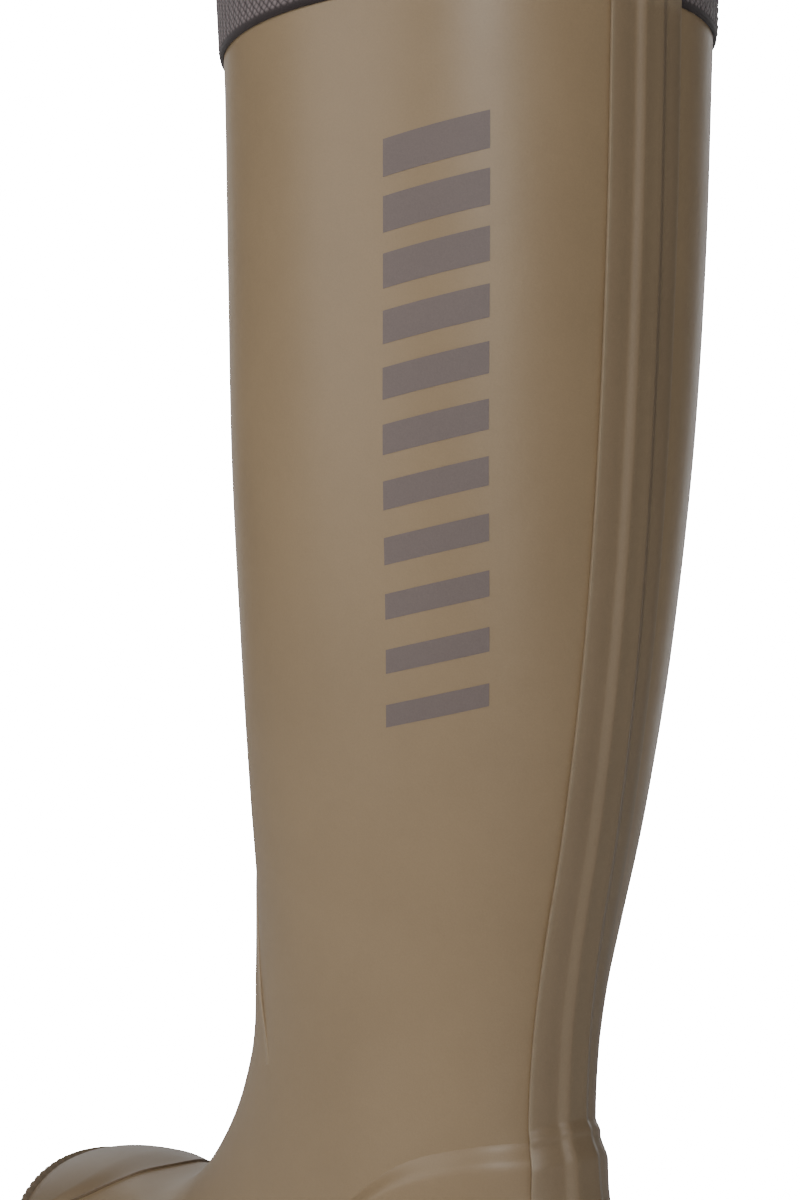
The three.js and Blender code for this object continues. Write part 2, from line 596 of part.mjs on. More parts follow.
function midsole() {
  const top = (y) => featherHeight(y) - CLEARANCE;
  const bottom = (y) => featherHeight(y) - MIDSOLE_THICKNESS;
  const body = solidOf(layer(SOLE_TURNS, 2, outlineAt(0), top, bottom));
  const seat = {
    width: SHANK_SIZE.width + 2 * CLEARANCE,
    back: SHANK_SIZE.back + CLEARANCE,
    front: SHANK_SIZE.front - CLEARANCE,
  };
  const slot = solidOf(spineStrip(seat, -CLEARANCE - SHANK_SEAT, 1));
  return geometryOf(body.subtract(slot));
}

// The outsole: a body down to the root of the lugs, and the lugs cut from a layer that follows the tread.
const outsoleOffset = Math.max(TOE_CAP_WALL, COUNTER_WALL) + 2 * CLEARANCE + FOXING_WALL + OUTSOLE_LIP;
const outsoleTop = (y) => featherHeight(y) - MIDSOLE_THICKNESS - CLEARANCE;

function lugShape(x0, x1, y0, y1, slant) {
  const shape = new THREE.Shape();
  shape.moveTo(x0, y0 + slant * Math.abs(x0));
  shape.lineTo(x1, y0 + slant * Math.abs(x1));
  shape.lineTo(x1, y1 + slant * Math.abs(x1));
  shape.lineTo(x0, y1 + slant * Math.abs(x0));
  return shape;
}

function lugShapes() {
  const shapes = [];
  const reach = BALL_WIDTH;
  const bar = LUG_PITCH - LUG_GAP;
  const [inner, outer] = [LUG_SPLIT + LUG_GAP / 2, LUG_SPLIT - LUG_GAP / 2];
  const row = (y, slant) => {
    shapes.push(lugShape(-outer, 0, y, y + bar, slant), lugShape(0, outer, y, y + bar, slant));
    shapes.push(lugShape(inner, reach, y, y + bar, slant), lugShape(-reach, -inner, y, y + bar, slant));
  };
  for (let y = WAIST_END - LUG_PITCH; y > -TOE_REACH - 30; y -= LUG_PITCH) row(y, LUG_SLANT);
  for (let y = HEEL_REACH - LUG_PITCH + LUG_GAP; y > HEEL_BREAST - LUG_PITCH; y -= LUG_PITCH) row(y, 0);
  return shapes;
}

function outsole() {
  const outline = outlineAt(outsoleOffset);
  const root = (y) => treadHeight(y) + LUG_DEPTH;
  const body = solidOf(layer(SOLE_TURNS, 2, outline, outsoleTop, root));
  const tread = solidOf(layer(SOLE_TURNS, 2, outline, (y) => root(y) + 1, treadHeight));
  const lugs = lugShapes().map((shape) => prism(shape, -5, FEATHER_HEEL));
  const pattern = lugs.reduce((all, lug) => all.add(lug));
  const whole = body.add(tread.intersect(pattern));
  return geometryOf(whole.subtract(heelCoreSolid(CLEARANCE)));
}

// The heel core: a light block in a pocket of the outsole, covered by the midsole.
function heelCoreSolid(room) {
  const centre = new THREE.Vector2(0, (HEEL_REACH + HEEL_BREAST) / 2);
  const [a, b] = [BALL_WIDTH / 2 - HEEL_CORE.sideInset, (HEEL_REACH - HEEL_BREAST) / 2 - HEEL_CORE.inset];
  const shape = new THREE.Shape();
  shape.absellipse(centre.x, centre.y, a + room, b + room, 0, FULL_TURN);
  const top = room ? FEATHER_HEEL : outsoleTop(HEEL_BREAST + HEEL_CORE.inset) - CLEARANCE;
  return prism(shape, HEEL_CORE.floor - room, top);
}

// Finishes.
function finish(color, roughness, metalness = 0) {
  return new THREE.MeshStandardMaterial({ color, roughness, metalness });
}
const olive = finish(0x8f7a61, 0.5);
const oliveDark = finish(0x7d6b55, 0.6);
const taupeTape = finish(0x55494a, 0.8);
const taupePrint = finish(0x756862, 0.55);
const soleRubber = finish(0x4f443b, 0.75);
const foam = finish(0x8a8378, 0.9);
const steel = finish(0x8d9094, 0.35, 1);
const board = finish(0x9a8766, 0.85);
const knit = finish(0xa79c8a, 0.95);
const cork = finish(0xa07b52, 0.85);
const fibre = finish(0x6d6456, 0.8);

const boot = new THREE.Group();
function add(name, geometry, material) {
  const mesh = new THREE.Mesh(geometry, material);
  mesh.name = name;
  boot.add(mesh);
}

add("foot_shell", shell(FOOT_SHELL_RISES), olive);
add("leg_shell", shell(LEG_SHELL_RISES), olive);
add("heel_counter", heelCounter(), olive);
add("toe_cap", toeCap(), olive);
add("instep_patch", instepPatch(), olive);
add("back_strip", backStrip(), olive);
add("foxing_strip", foxingStrip(), olive);
add("toe_bumper", toeBumper(), oliveDark);
add("top_binding", topBinding(), taupeTape);
add("leg_print", legPrint(), taupePrint);
add("leg_lining", lining(SHELL_TURNS, LEG_RISES, () => 0), knit);
add("foot_lining", lining(FOOT_TURNS, FOOT_RISES, boardTop), knit);
add("toe_puff", stiffener(FOOT_TOE_TURNS, 0, PUFF), fibre);
add("heel_stiffener", stiffener(FOOT_TURNS, HALF_TURN, STIFFENER), fibre);
add("footbed_cover", footbedCover(), knit);
add("footbed", footbed(), cork);
add("insole_board", insoleBoard(), board);
add("shank", shank(), steel);
add("midsole", midsole(), foam);
add("heel_core", geometryOf(heelCoreSolid(0)), foam);
add("outsole", outsole(), soleRubber);

// The origin is on the ground, at the middle of the boot's length and width.
const reach = new THREE.Box3().setFromObject(boot);
const middle = reach.getCenter(new THREE.Vector3());
boot.position.set(-middle.x, -middle.y, -reach.min.z);

export default boot;
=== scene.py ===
import math

import bpy
import numpy as np
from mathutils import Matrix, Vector


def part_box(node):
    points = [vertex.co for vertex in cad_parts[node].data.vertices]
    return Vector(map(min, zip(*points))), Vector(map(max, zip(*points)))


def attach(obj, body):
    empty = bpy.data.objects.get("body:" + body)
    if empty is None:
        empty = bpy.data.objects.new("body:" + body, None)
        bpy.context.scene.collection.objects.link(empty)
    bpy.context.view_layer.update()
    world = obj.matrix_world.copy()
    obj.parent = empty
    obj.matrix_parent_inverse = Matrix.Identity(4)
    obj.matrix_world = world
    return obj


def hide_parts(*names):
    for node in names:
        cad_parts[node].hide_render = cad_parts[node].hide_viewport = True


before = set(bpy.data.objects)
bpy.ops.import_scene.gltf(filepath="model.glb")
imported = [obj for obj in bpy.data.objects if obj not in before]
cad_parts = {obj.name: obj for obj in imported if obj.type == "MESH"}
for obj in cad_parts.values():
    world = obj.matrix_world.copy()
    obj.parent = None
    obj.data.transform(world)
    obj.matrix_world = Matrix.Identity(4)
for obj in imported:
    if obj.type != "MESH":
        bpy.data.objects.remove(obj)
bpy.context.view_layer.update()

MM = 0.001
FULL_TURN = 2 * math.pi
HALF_TURN = math.pi

BOOT_HEIGHT = 394
TOE_REACH = 205
HEEL_REACH = 47
BALL_WIDTH = 90
FEATHER_HEEL = 30
FEATHER_BALL = 17
TOE_SPRING = 5
TREAD_SPRING = 9

CLEARANCE = 0.3  # between two sheets
OVERLAY_CLEARANCE = 0.5  # under the toe cap and the counter
STRIP_CLEARANCE = 0.65  # more, where the strip crosses the counter
LINING_CLEARANCE = 0.5
BEDDING = 0.1  # how far a bonded sheet beds into the one under it
RUBBER_WALL = 2.2
LINING_WALL = 1.2
STIFFENER_WALL = 1
COUNTER_WALL = 1.9
TOE_CAP_WALL = 1.5
INSTEP_WALL = 0.7
FOXING_WALL = 1.8
BUMPER_WALL = 1.7
EDGE_WALL = 0.35
BINDING_WALL = 1

MIDSOLE_THICKNESS = 5
BOARD_THICKNESS = 2
FOOTBED_THICKNESS = 4
COVER_THICKNESS = 0.8
OUTSOLE_LIP = 1
FOXING_RISE = 11
BUMPER_RISE = 9.5
BUMPER_END = 1.5
BUMPER_SPREAD = 0.6
BINDING_OUTSIDE = 28
BINDING_INSIDE = 12
STRIP_WIDTH = 22.4
STRIP_WALL = 1.2
RIB_TOP = 5.6
RIB_BASE = 9.6
RIB_HEIGHT = 1.2
STRIP_OFF = 1.1
COUNTER_TOP = 97
COUNTER_SPREAD = 1.85
COUNTER_SQUARENESS = 3.5
COUNTER_ROLL = 6.5
CAP_SPREAD = 0.86
CAP_FOOT = 0.5
CAP_END = 0.35
CAP_TOP = 4.5
INSTEP_LOW = 8.6  # the patch's rises: its foot, the corners of its top edge, and that edge's middle
INSTEP_CORNER = 10.6
INSTEP_HIGH = 12.05
INSTEP_SPREAD = 1.34
INSTEP_NARROWING = (0.9, 0.52)  # share of its spread at its foot and at its top
INSTEP_NARROWS_FROM = 8
INSTEP_NARROWS_OVER = 4
LUG_DEPTH = 4.5
LUG_PITCH = 16.5
LUG_GAP = 5
HEEL_BREAST = -6
WAIST_END = -48
WAIST_LIFT = 7.5
TAPE_PADS = 186  # pads of the tape's weave round the collar
TAPE_PITCH = 2.1
PRINT_TOP = 341
PRINT_BOTTOM = 196
PRINT_WIDTH = 25
PRINT_TURN = 2.3
PRINT_BARS = 11
PRINT_SLANT = 5.5
BUMPER_KNURL = 1.5  # pitch of the bumper's teeth
BUMPER_LENGTH = 72
LEG_JOIN = 10  # the rise at which the foot's parts meet the leg's
PUFF_SPREAD = 1
PUFF_TOP = 5.2
STIFFENER_SPREAD = 1.25
STIFFENER_TOP = 6

# [front y, front z, back y, back z, widest y, outer half width, inner half width, front fullness,
#  back fullness, swing of the toe to the inner side, share of the feather edge's curve, dip at the sides]
RINGS = np.array([
    [-200, 22, 43.5, 30, -92, 45.5, 42.5, 2.4, 2.4, 4, 1, 0],
    [-204, 30.5, 47, 42, -92, 46.5, 43.5, 2.4, 2.4, 4, 1, 3],
    [-202.5, 38.5, 45.5, 54, -88, 45, 42, 2.3, 2.3, 4, 0.7, 8],
    [-192.5, 45, 41, 65, -76, 42.5, 39, 2.2, 2.2, 3, 0.4, 14],
    [-173.5, 50, 38.5, 75, -56, 39.5, 36, 2.05, 2.1, 2, 0.2, 18.5],
    [-151, 52, 37, 84, -38, 37.8, 33.5, 2, 2, 1, 0.05, 19],
    [-128, 52.5, 36.3, 92, -26, 36.6, 32, 2, 2, 0, 0, 15],
    [-109, 63, 36, 101, -19, 36, 31.3, 2, 2, 0, 0, 9],
    [-90.5, 83, 36.2, 110, -16, 36, 31.5, 2, 2, 0, 0, 5],
    [-79, 104, 37, 121, -16, 36.8, 33.5, 2, 2, 0, 0, 2],
    [-73.2, 124, 38.3, 132, -16, 38.4, 36.6, 2, 2, 0, 0, 1],
    [-70.4, 146, 41.2, 148, -14.5, 41, 40.6, 2, 2, 0, 0, 0],
    [-69.8, 175, 47, 175, -11.4, 45.5, 45.5, 2, 2, 0, 0, 0],
    [-69.3, 215, 53.4, 215, -8, 51, 51, 2, 2, 0, 0, 0],
    [-68, 260, 57.8, 260, -5, 56, 56, 2, 2, 0, 0, 0],
    [-67, 310, 60.7, 310, -3, 58.6, 58.6, 2, 2, 0, 0, 0],
    [-66.8, 355, 62, 355.7, -2.3, 60, 60, 2, 2, 0, 0, 0],
    [-69, 391, 62.6, 394, -3, 61.3, 61.3, 2, 2, 0, 0, 0],
], float)
COLLAR = len(RINGS) - 1
WAIST_ALONG = 0.62
WAIST_SPREAD = 0.15
WAIST_DEPTH = 0.13


# ---- camera -------------------------------------------------------------------------------------
CAMERA_PLACE = Vector((0.3473, 0.4865, 0.226))
CAMERA_AIM = Vector((-0.6157, -0.7880, 0))


def make_camera():
    bpy.ops.object.camera_add(location=CAMERA_PLACE)
    camera = bpy.context.active_object
    camera.rotation_euler = CAMERA_AIM.to_track_quat("-Z", "Y").to_euler()
    camera.data.lens = 63.7
    camera.data.sensor_width = 36
    camera.data.clip_start = 0.01
    bpy.context.scene.camera = camera


bpy.ops.object.select_all(action="DESELECT")
make_camera()


# ---- the last -----------------------------------------------------------------------------------
def mix(a, b, t):
    return a + (b - a) * t


def smooth(x):
    x = np.clip(x, 0, 1)
    return x * x * (3 - 2 * x)


def inside(share, sharpness):
    """0 at a sheet's edge, where the share is 1, and 1 further in: the sharper, the nearer the edge."""
    return smooth((1 - share) * sharpness)


def feather_height(y):
    toeward = np.clip((-104 - y) / (TOE_REACH - 104), 0, 1) ** 2
    return mix(FEATHER_BALL, FEATHER_HEEL, smooth((y + 62) / 70)) + TOE_SPRING * toeward


def tread_height(y):
    arch = np.clip((y - WAIST_END) / (HEEL_BREAST - WAIST_END), 0, 0.62)
    toeward = np.clip((-120 - y) / (TOE_REACH - 120), 0, 1) ** 2
    raised = WAIST_LIFT * np.sin(HALF_TURN * arch) + TREAD_SPRING * toeward
    return np.where(y > HEEL_BREAST, 0, raised)


def ring_at(rise):
    below = np.clip(np.floor(rise), 0, COLLAR - 1).astype(int)
    t = (rise - below)[..., None]
    rings = np.vstack([2 * RINGS[0] - RINGS[1], RINGS, 2 * RINGS[-1] - RINGS[-2]])
    a, b, c, d = (rings[below + step] for step in range(4))
    curve = b + 0.5 * t * (c - a + t * (2 * a - 5 * b + 4 * c - d + t * (3 * (b - c) + d - a)))
    return np.moveaxis(curve, -1, 0)


def last_point(turn, rise):
    turn, rise = np.broadcast_arrays(np.asarray(turn, float), np.asarray(rise, float))
    front_y, front_z, back_y, back_z, widest_y, outer, inner, *shape = ring_at(rise)
    front_full, back_full, swing, feather, dip = shape
    c, s = np.cos(turn), np.sin(turn)
    full = np.where(c > 0, front_full, back_full)
    along = np.sign(c) * np.abs(c) ** (2 / full)
    across = np.sign(s) * np.abs(s) ** (2 / full)
    y = np.where(along > 0, mix(widest_y, front_y, along), mix(widest_y, back_y, -along))
    share = (y - front_y) / (back_y - front_y)
    waist = 1 - feather * WAIST_DEPTH * np.exp(-(((share - WAIST_ALONG) / WAIST_SPREAD) ** 2))
    toe_share = np.clip((widest_y - y) / (widest_y - front_y), 0, 1)
    x = across * waist * np.where(s > 0, outer, inner) - swing * toe_share**3
    chord = mix(RINGS[0][1], RINGS[0][3], share)
    z = mix(front_z, back_z, share) + feather * (feather_height(y) - chord) - dip * s * s
    return np.stack([x, y, z], -1)


def unit(vectors):
    return vectors / np.linalg.norm(vectors, axis=-1, keepdims=True)


def last_normal(turn, rise):
    step = 0.02
    around = last_point(turn + step, rise) - last_point(turn - step, rise)
    up = last_point(turn, np.minimum(rise + step, COLLAR)) - last_point(turn, np.maximum(rise - step, 0))
    return unit(np.cross(around, up))


def laid(turn, rise, offset):
    turn, rise, offset = np.broadcast_arrays(turn, rise, offset)
    return last_point(turn, rise) + last_normal(turn, rise) * offset[..., None]


def rise_at(turn, height):
    turn, height = np.broadcast_arrays(np.asarray(turn, float), np.asarray(height, float))
    low, high = np.zeros(turn.shape), np.full(turn.shape, float(COLLAR))
    for _ in range(26):
        middle = (low + high) / 2
        under = last_point(turn, middle)[..., 2] < height
        low, high = np.where(under, middle, low), np.where(under, high, middle)
    return (low + high) / 2


def beside_feather(turn, height, offset):
    """A point beside the feather edge, that much above or below it and out from the upper."""
    turn, height, offset = np.broadcast_arrays(turn, np.asarray(height, float), offset)
    edge = last_point(turn, np.zeros(turn.shape))
    above = laid(turn, rise_at(turn, edge[..., 2] + np.maximum(height, 0)), offset)
    out = last_normal(turn, np.zeros(turn.shape)) * [1, 1, 0]
    below = edge + unit(out) * offset[..., None]
    below[..., 2] = feather_height(below[..., 1]) + height
    return np.where((height > 0)[..., None], above, below)


def beside_collar(turn, depth, offset):
    """A point that far below the collar edge, or above it where depth is negative."""
    turn, depth, offset = np.broadcast_arrays(turn, np.asarray(depth, float), offset)
    top = np.full(turn.shape, float(COLLAR))
    edge = last_point(turn, top)
    under = laid(turn, rise_at(turn, edge[..., 2] - np.maximum(depth, 0)), offset)
    up = unit(edge - last_point(turn, top - 0.2))
    over = laid(turn, top, offset) - up * depth[..., None]
    return np.where((depth > 0)[..., None], under, over)


def per_radian(turn, rise):
    """Millimetres along the last for each radian of turn."""
    step = 0.05
    chord = last_point(turn + step, rise) - last_point(turn - step, rise)
    return np.linalg.norm(chord, axis=-1) / (2 * step)


# The frame stands the boot on the middle of its length, so the last is moved by the upper's rearmost point.
FRAME_TURNS = 44
FRAME_BACK = last_point((FRAME_TURNS / 2 - 0.5) * FULL_TURN / FRAME_TURNS, float(COLLAR))[1]
LAST_SHIFT = np.array([0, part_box("leg_shell")[1].y / MM - FRAME_BACK, 0])


# ---- ways of working ----------------------------------------------------------------------------
def points_of(piece):
    points = np.zeros(len(piece.data.vertices) * 3)
    piece.data.vertices.foreach_get("co", points)
    return points.reshape(-1, 3)


def put_points(piece, points):
    """Places a piece's points, given in the last's millimetres."""
    piece.data.vertices.foreach_set("co", ((points + LAST_SHIFT) * MM).ravel())
    piece.data.update()


def mark(piece, name, values):
    """Keeps one value per point, for the piece's material to read."""
    attribute = piece.data.attributes.new(name, "FLOAT", "POINT")
    attribute.data.foreach_set("value", np.asarray(values, np.float32))


def apply_modifier(piece, kind, **settings):
    bpy.ops.object.select_all(action="DESELECT")
    piece.select_set(True)
    bpy.context.view_layer.objects.active = piece
    modifier = piece.modifiers.new(kind.lower(), kind)
    for name, value in settings.items():
        setattr(modifier, name, value)
    bpy.ops.object.modifier_apply(modifier=modifier.name)


def in_edit_mode(piece, *operations):
    bpy.ops.object.select_all(action="DESELECT")
    piece.select_set(True)
    bpy.context.view_layer.objects.active = piece
    bpy.ops.object.mode_set(mode="EDIT")
    bpy.ops.mesh.select_all(action="SELECT")
    for operation in operations:
        operation()
    bpy.ops.object.mode_set(mode="OBJECT")


def merge_doubles():
    bpy.ops.mesh.remove_doubles(threshold=1e-6)


def face_outwards():
    bpy.ops.mesh.normals_make_consistent(inside=False)


def named(name):
    piece = bpy.context.active_object
    piece.name = name
    piece.data.name = name
    return piece


def joined(pieces, name):
    bpy.ops.object.select_all(action="DESELECT")
    for piece in pieces:
        piece.select_set(True)
    bpy.context.view_layer.objects.active = pieces[0]
    bpy.ops.object.join()
    return named(name)


def flat_sheet(name, columns, rows):
    bpy.ops.object.select_all(action="DESELECT")
    bpy.ops.mesh.primitive_grid_add(x_subdivisions=columns, y_subdivisions=rows, size=2)
    return named(name)


def flat_slab(name, columns, rows):
    """A sheet with a front and a back, both still flat."""
    piece = flat_sheet(name, columns, rows)
    apply_modifier(piece, "SOLIDIFY", thickness=0.1, offset=0)
    return piece


def lay(piece, place):
    """Lays a flat sheet or slab: place(across, along, front) gives each point its place on the last."""
    flat = points_of(piece)
    across, along = (flat[:, 0] + 1) / 2, (flat[:, 1] + 1) / 2
    put_points(piece, place(across, along, flat[:, 2] > -1e-6))
    return across, along


def edge_marks(piece, across, along, width, height, wear_and_light_band=2.5):
    """Marks how near each point is to the sheet's cut edge; with no width, the sheet closes on itself."""
    border = np.minimum(along, 1 - along) * height
    if width is not None:
        border = np.minimum(border, np.minimum(across, 1 - across) * width)
    mark(piece, "edge", 1 - smooth(border / wear_and_light_band))


def soften(piece, width, angle=40):
    """Rounds the piece's sharp edges by that many millimetres."""
    apply_modifier(piece, "BEVEL", width=width * MM, segments=2, limit_method="ANGLE",
                   angle_limit=math.radians(angle), harden_normals=False)


def smooth_shade(piece, angle=35):
    bpy.ops.object.select_all(action="DESELECT")
    piece.select_set(True)
    bpy.context.view_layer.objects.active = piece
    bpy.ops.object.shade_smooth_by_angle(angle=math.radians(angle))


def hoop(name, around, section, place):
    """A ring of a closed section: place(turn, points) puts the section's points at those turns."""
    count = len(section)
    bpy.ops.object.select_all(action="DESELECT")
    bpy.ops.mesh.primitive_torus_add(major_segments=around, minor_segments=count,
                                     major_radius=1, minor_radius=0.5)
    piece = named(name)
    ring = points_of(piece)
    turn = np.arctan2(ring[:, 1], ring[:, 0])
    angle = np.arctan2(ring[:, 2], np.hypot(ring[:, 0], ring[:, 1]) - 1)
    index = np.rint(angle / FULL_TURN * count).astype(int) % count
    put_points(piece, place(turn, section[index]))
    in_edit_mode(piece, face_outwards)
    return piece, index


def settle(piece, material, slot, *nodes):
    """Gives the finished piece its material and its body, and hides the frame nodes it stands for; its slot
    is not used.
    """
    piece.data.materials.clear()
    piece.data.materials.append(material)
    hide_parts(*nodes)
    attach(piece, "root")
    return piece


# ---- finishes -----------------------------------------------------------------------------------
def add_node(tree, kind, inputs=None, **settings):
    made = tree.nodes.new(kind)
    for name, value in settings.items():
        setattr(made, name, value)
    for key, value in (inputs or {}).items():
        if isinstance(value, bpy.types.NodeSocket):
            tree.links.new(value, made.inputs[key])
        else:
            made.inputs[key].default_value = value
    return made


def math_node(tree, operation, *values):
    return add_node(tree, "ShaderNodeMath", dict(enumerate(values)), operation=operation).outputs[0]


def between(tree, value, low, high):
    """Takes a value from 0..1 to low..high."""
    return add_node(tree, "ShaderNodeMapRange", {0: value, 3: low, 4: high}).outputs[0]


def tint(tree, factor, first, second, blend="MIX"):
    return add_node(tree, "ShaderNodeMix", {0: factor, 6: first, 7: second}, data_type="RGBA",
                    blend_type=blend).outputs[2]


def new_group(name, inputs, outputs):
    group = bpy.data.node_groups.new(name, "ShaderNodeTree")
    kinds = {"color": "NodeSocketColor", "value": "NodeSocketFloat", "vector": "NodeSocketVector"}
    for socket, kind in inputs.items():
        group.interface.new_socket(socket, in_out="INPUT", socket_type=kinds[kind])
    for socket, kind in outputs.items():
        group.interface.new_socket(socket, in_out="OUTPUT", socket_type=kinds[kind])
    entry = group.nodes.new("NodeGroupInput").outputs
    leave = group.nodes.new("NodeGroupOutput").inputs
    return group, entry, leave


def noise(tree, vector, scale, detail=3, roughness=0.5):
    return add_node(tree, "ShaderNodeTexNoise", {"Vector": vector, "Scale": scale, "Detail": detail,
                                                 "Roughness": roughness}).outputs["Fac"]


def rubber_group():
    """Rubber rolled out by hand: cloudy colour, a fine speckle of bloom, and a faint calender grain."""
    group, entry, leave = new_group(
        "hand_laid_rubber",
        {"Vector": "vector", "Color": "color", "Clouds": "value", "Speckle": "value"},
        {"Color": "color", "Sheen": "value", "Height": "value"})
    clouds = noise(group, entry["Vector"], 26, 4, 0.55)
    streaks = noise(group, entry["Vector"], 110, 2)
    grain = noise(group, entry["Vector"], 900, 2)
    speck = noise(group, entry["Vector"], 2600, 1)
    cloud_shade = between(group, clouds, 0.72, 1.28)
    cloudy = tint(group, entry["Clouds"], entry["Color"],
                  tint(group, 1.0, entry["Color"], cloud_shade, "MULTIPLY"))
    speck_shade = between(group, speck, 0.8, 1.2)
    speckled = tint(group, entry["Speckle"], cloudy, tint(group, 1.0, cloudy, speck_shade, "MULTIPLY"))
    group.links.new(speckled, leave["Color"])
    sheen = math_node(group, "ADD", math_node(group, "MULTIPLY", clouds, 0.6),
                      math_node(group, "MULTIPLY", streaks, 0.4))
    group.links.new(sheen, leave["Sheen"])
    height = math_node(group, "ADD", math_node(group, "MULTIPLY", streaks, 0.75),
                       math_node(group, "MULTIPLY", grain, 0.25))
    group.links.new(height, leave["Height"])
    return group


def edge_wear_and_light_group():
    """A cut edge tinted along its rim and broken up by a little noise. The tint is partly scuffing, partly
    painted highlight where edges catch the light, and painted shade where the edge colour is darker.
    """
    group, entry, leave = new_group(
        "edge_scuff_and_painted_light",
        {"Vector": "vector", "Color": "color", "Edge": "value", "Rubbed": "color", "Amount": "value"},
        {"Color": "color", "Mask": "value"})
    broken = between(group, noise(group, entry["Vector"], 300, 3), 0.35, 1.15)
    wear_and_light_share = math_node(group, "MULTIPLY", entry["Edge"], broken)
    mask = math_node(group, "MULTIPLY", wear_and_light_share, entry["Amount"])
    group.links.new(tint(group, mask, entry["Color"], entry["Rubbed"]), leave["Color"])
    group.links.new(mask, leave["Mask"])
    return group


def from_middle(tree, count):
    """How far a count is from the middle of its own step, from 0 to half."""
    return math_node(tree, "ABSOLUTE", math_node(tree, "SUBTRACT", math_node(tree, "FRACT", count), 0.5))


def knit_group():
    """Jersey: rows of V stitches, counted in the vector's own units, one stitch to each."""
    group, entry, leave = new_group(
        "jersey", {"Vector": "vector", "Color": "color", "Shadow": "color"},
        {"Color": "color", "Height": "value"})
    parts = add_node(group, "ShaderNodeSeparateXYZ", {0: entry["Vector"]}).outputs
    side = from_middle(group, parts[0])
    lifted = math_node(group, "ADD", parts[1], math_node(group, "MULTIPLY", side, 1.4))
    row = from_middle(group, lifted)
    wale = between(group, side, 1.0, 0.25)
    course = between(group, row, 1.0, -0.6)
    height = math_node(group, "MULTIPLY", wale, math_node(group, "MAXIMUM", course, 0.0))
    fuzz = noise(group, entry["Vector"], 3.3, 2)
    shade = math_node(group, "MULTIPLY", height, between(group, fuzz, 0.75, 1.25))
    group.links.new(tint(group, shade, entry["Shadow"], entry["Color"]), leave["Color"])
    group.links.new(height, leave["Height"])
    return group


RUBBER_GROUP = rubber_group()
EDGE_WEAR_AND_LIGHT_GROUP = edge_wear_and_light_group()
KNIT_GROUP = knit_group()


def new_material(name, **constants):
    material = bpy.data.materials.new(name)
    material.use_nodes = True
    shader = material.node_tree.nodes["Principled BSDF"]
    for socket, value in constants.items():
        shader.inputs[socket.replace("_", " ")].default_value = value
    return material, material.node_tree, shader


def place_group(tree, group, **inputs):
    return add_node(tree, "ShaderNodeGroup", inputs, node_tree=group).outputs


def bump(tree, shader, height, distance, strength=1.0):
    made = add_node(tree, "ShaderNodeBump", {"Height": height, "Distance": distance, "Strength": strength})
    tree.links.new(made.outputs[0], shader.inputs["Normal"])


def attribute_value(tree, name):
    return add_node(tree, "ShaderNodeAttribute", attribute_name=name).outputs["Fac"]


def rgba(red, green, blue):
    return (red, green, blue, 1)


def rubber(name, color, wear_and_painted_light, gloss=(0.33, 0.47), clouds=0.35, speckle=0.35, wear_and_light_amount=0.35, relief=None):
    """Rubber with clouds, bloom and tinted edges, the edge tint partly scuffing, partly painted highlight
    where it is lighter and painted shade where it is darker; relief is a darker colour for a pattern's
    bottom, painted shade in its grooves.
    """
    material, tree, shader = new_material(name, Specular_IOR_Level=0.5)
    place = add_node(tree, "ShaderNodeTexCoord").outputs["Object"]
    start = color
    if relief is not None:
        start = tint(tree, attribute_value(tree, "relief"), relief, color)
    body = place_group(tree, RUBBER_GROUP, Vector=place, Color=start, Clouds=clouds, Speckle=speckle)
    edge = place_group(tree, EDGE_WEAR_AND_LIGHT_GROUP, Vector=place, Color=body["Color"], Rubbed=wear_and_painted_light,
                       Edge=attribute_value(tree, "edge"), Amount=wear_and_light_amount)
    tree.links.new(edge["Color"], shader.inputs["Base Color"])
    tree.links.new(between(tree, body["Sheen"], *gloss), shader.inputs["Roughness"])
    bump(tree, shader, body["Height"], 0.00012, 0.6)
    return material


def knit(name, color, shadow, stitches):
    """Jersey on the piece's own map; stitches is how many lie across and along it."""
    material, tree, shader = new_material(name, Roughness=0.95, Sheen_Weight=0.25)
    own = add_node(tree, "ShaderNodeTexCoord").outputs["UV"]
    counted = add_node(tree, "ShaderNodeMapping", {"Vector": own, "Scale": (*stitches, 1)}).outputs[0]
    body = place_group(tree, KNIT_GROUP, Vector=counted, Color=color, Shadow=shadow)
    tree.links.new(body["Color"], shader.inputs["Base Color"])
    bump(tree, shader, body["Height"], 0.0004, 0.8)
    return material


def diagonal_ribs(tree, count):
    """Ribs from 0 to 1, one for each whole count."""
    turned = math_node(tree, "MULTIPLY", count, HALF_TURN)
    return math_node(tree, "ABSOLUTE", math_node(tree, "COSINE", turned))


# The gap colour is painted shade between the weave's pads.
TAPE_GAP_SHADE = rgba(0.022, 0.013, 0.013)
TAPE_YARN = rgba(0.235, 0.19, 0.19)


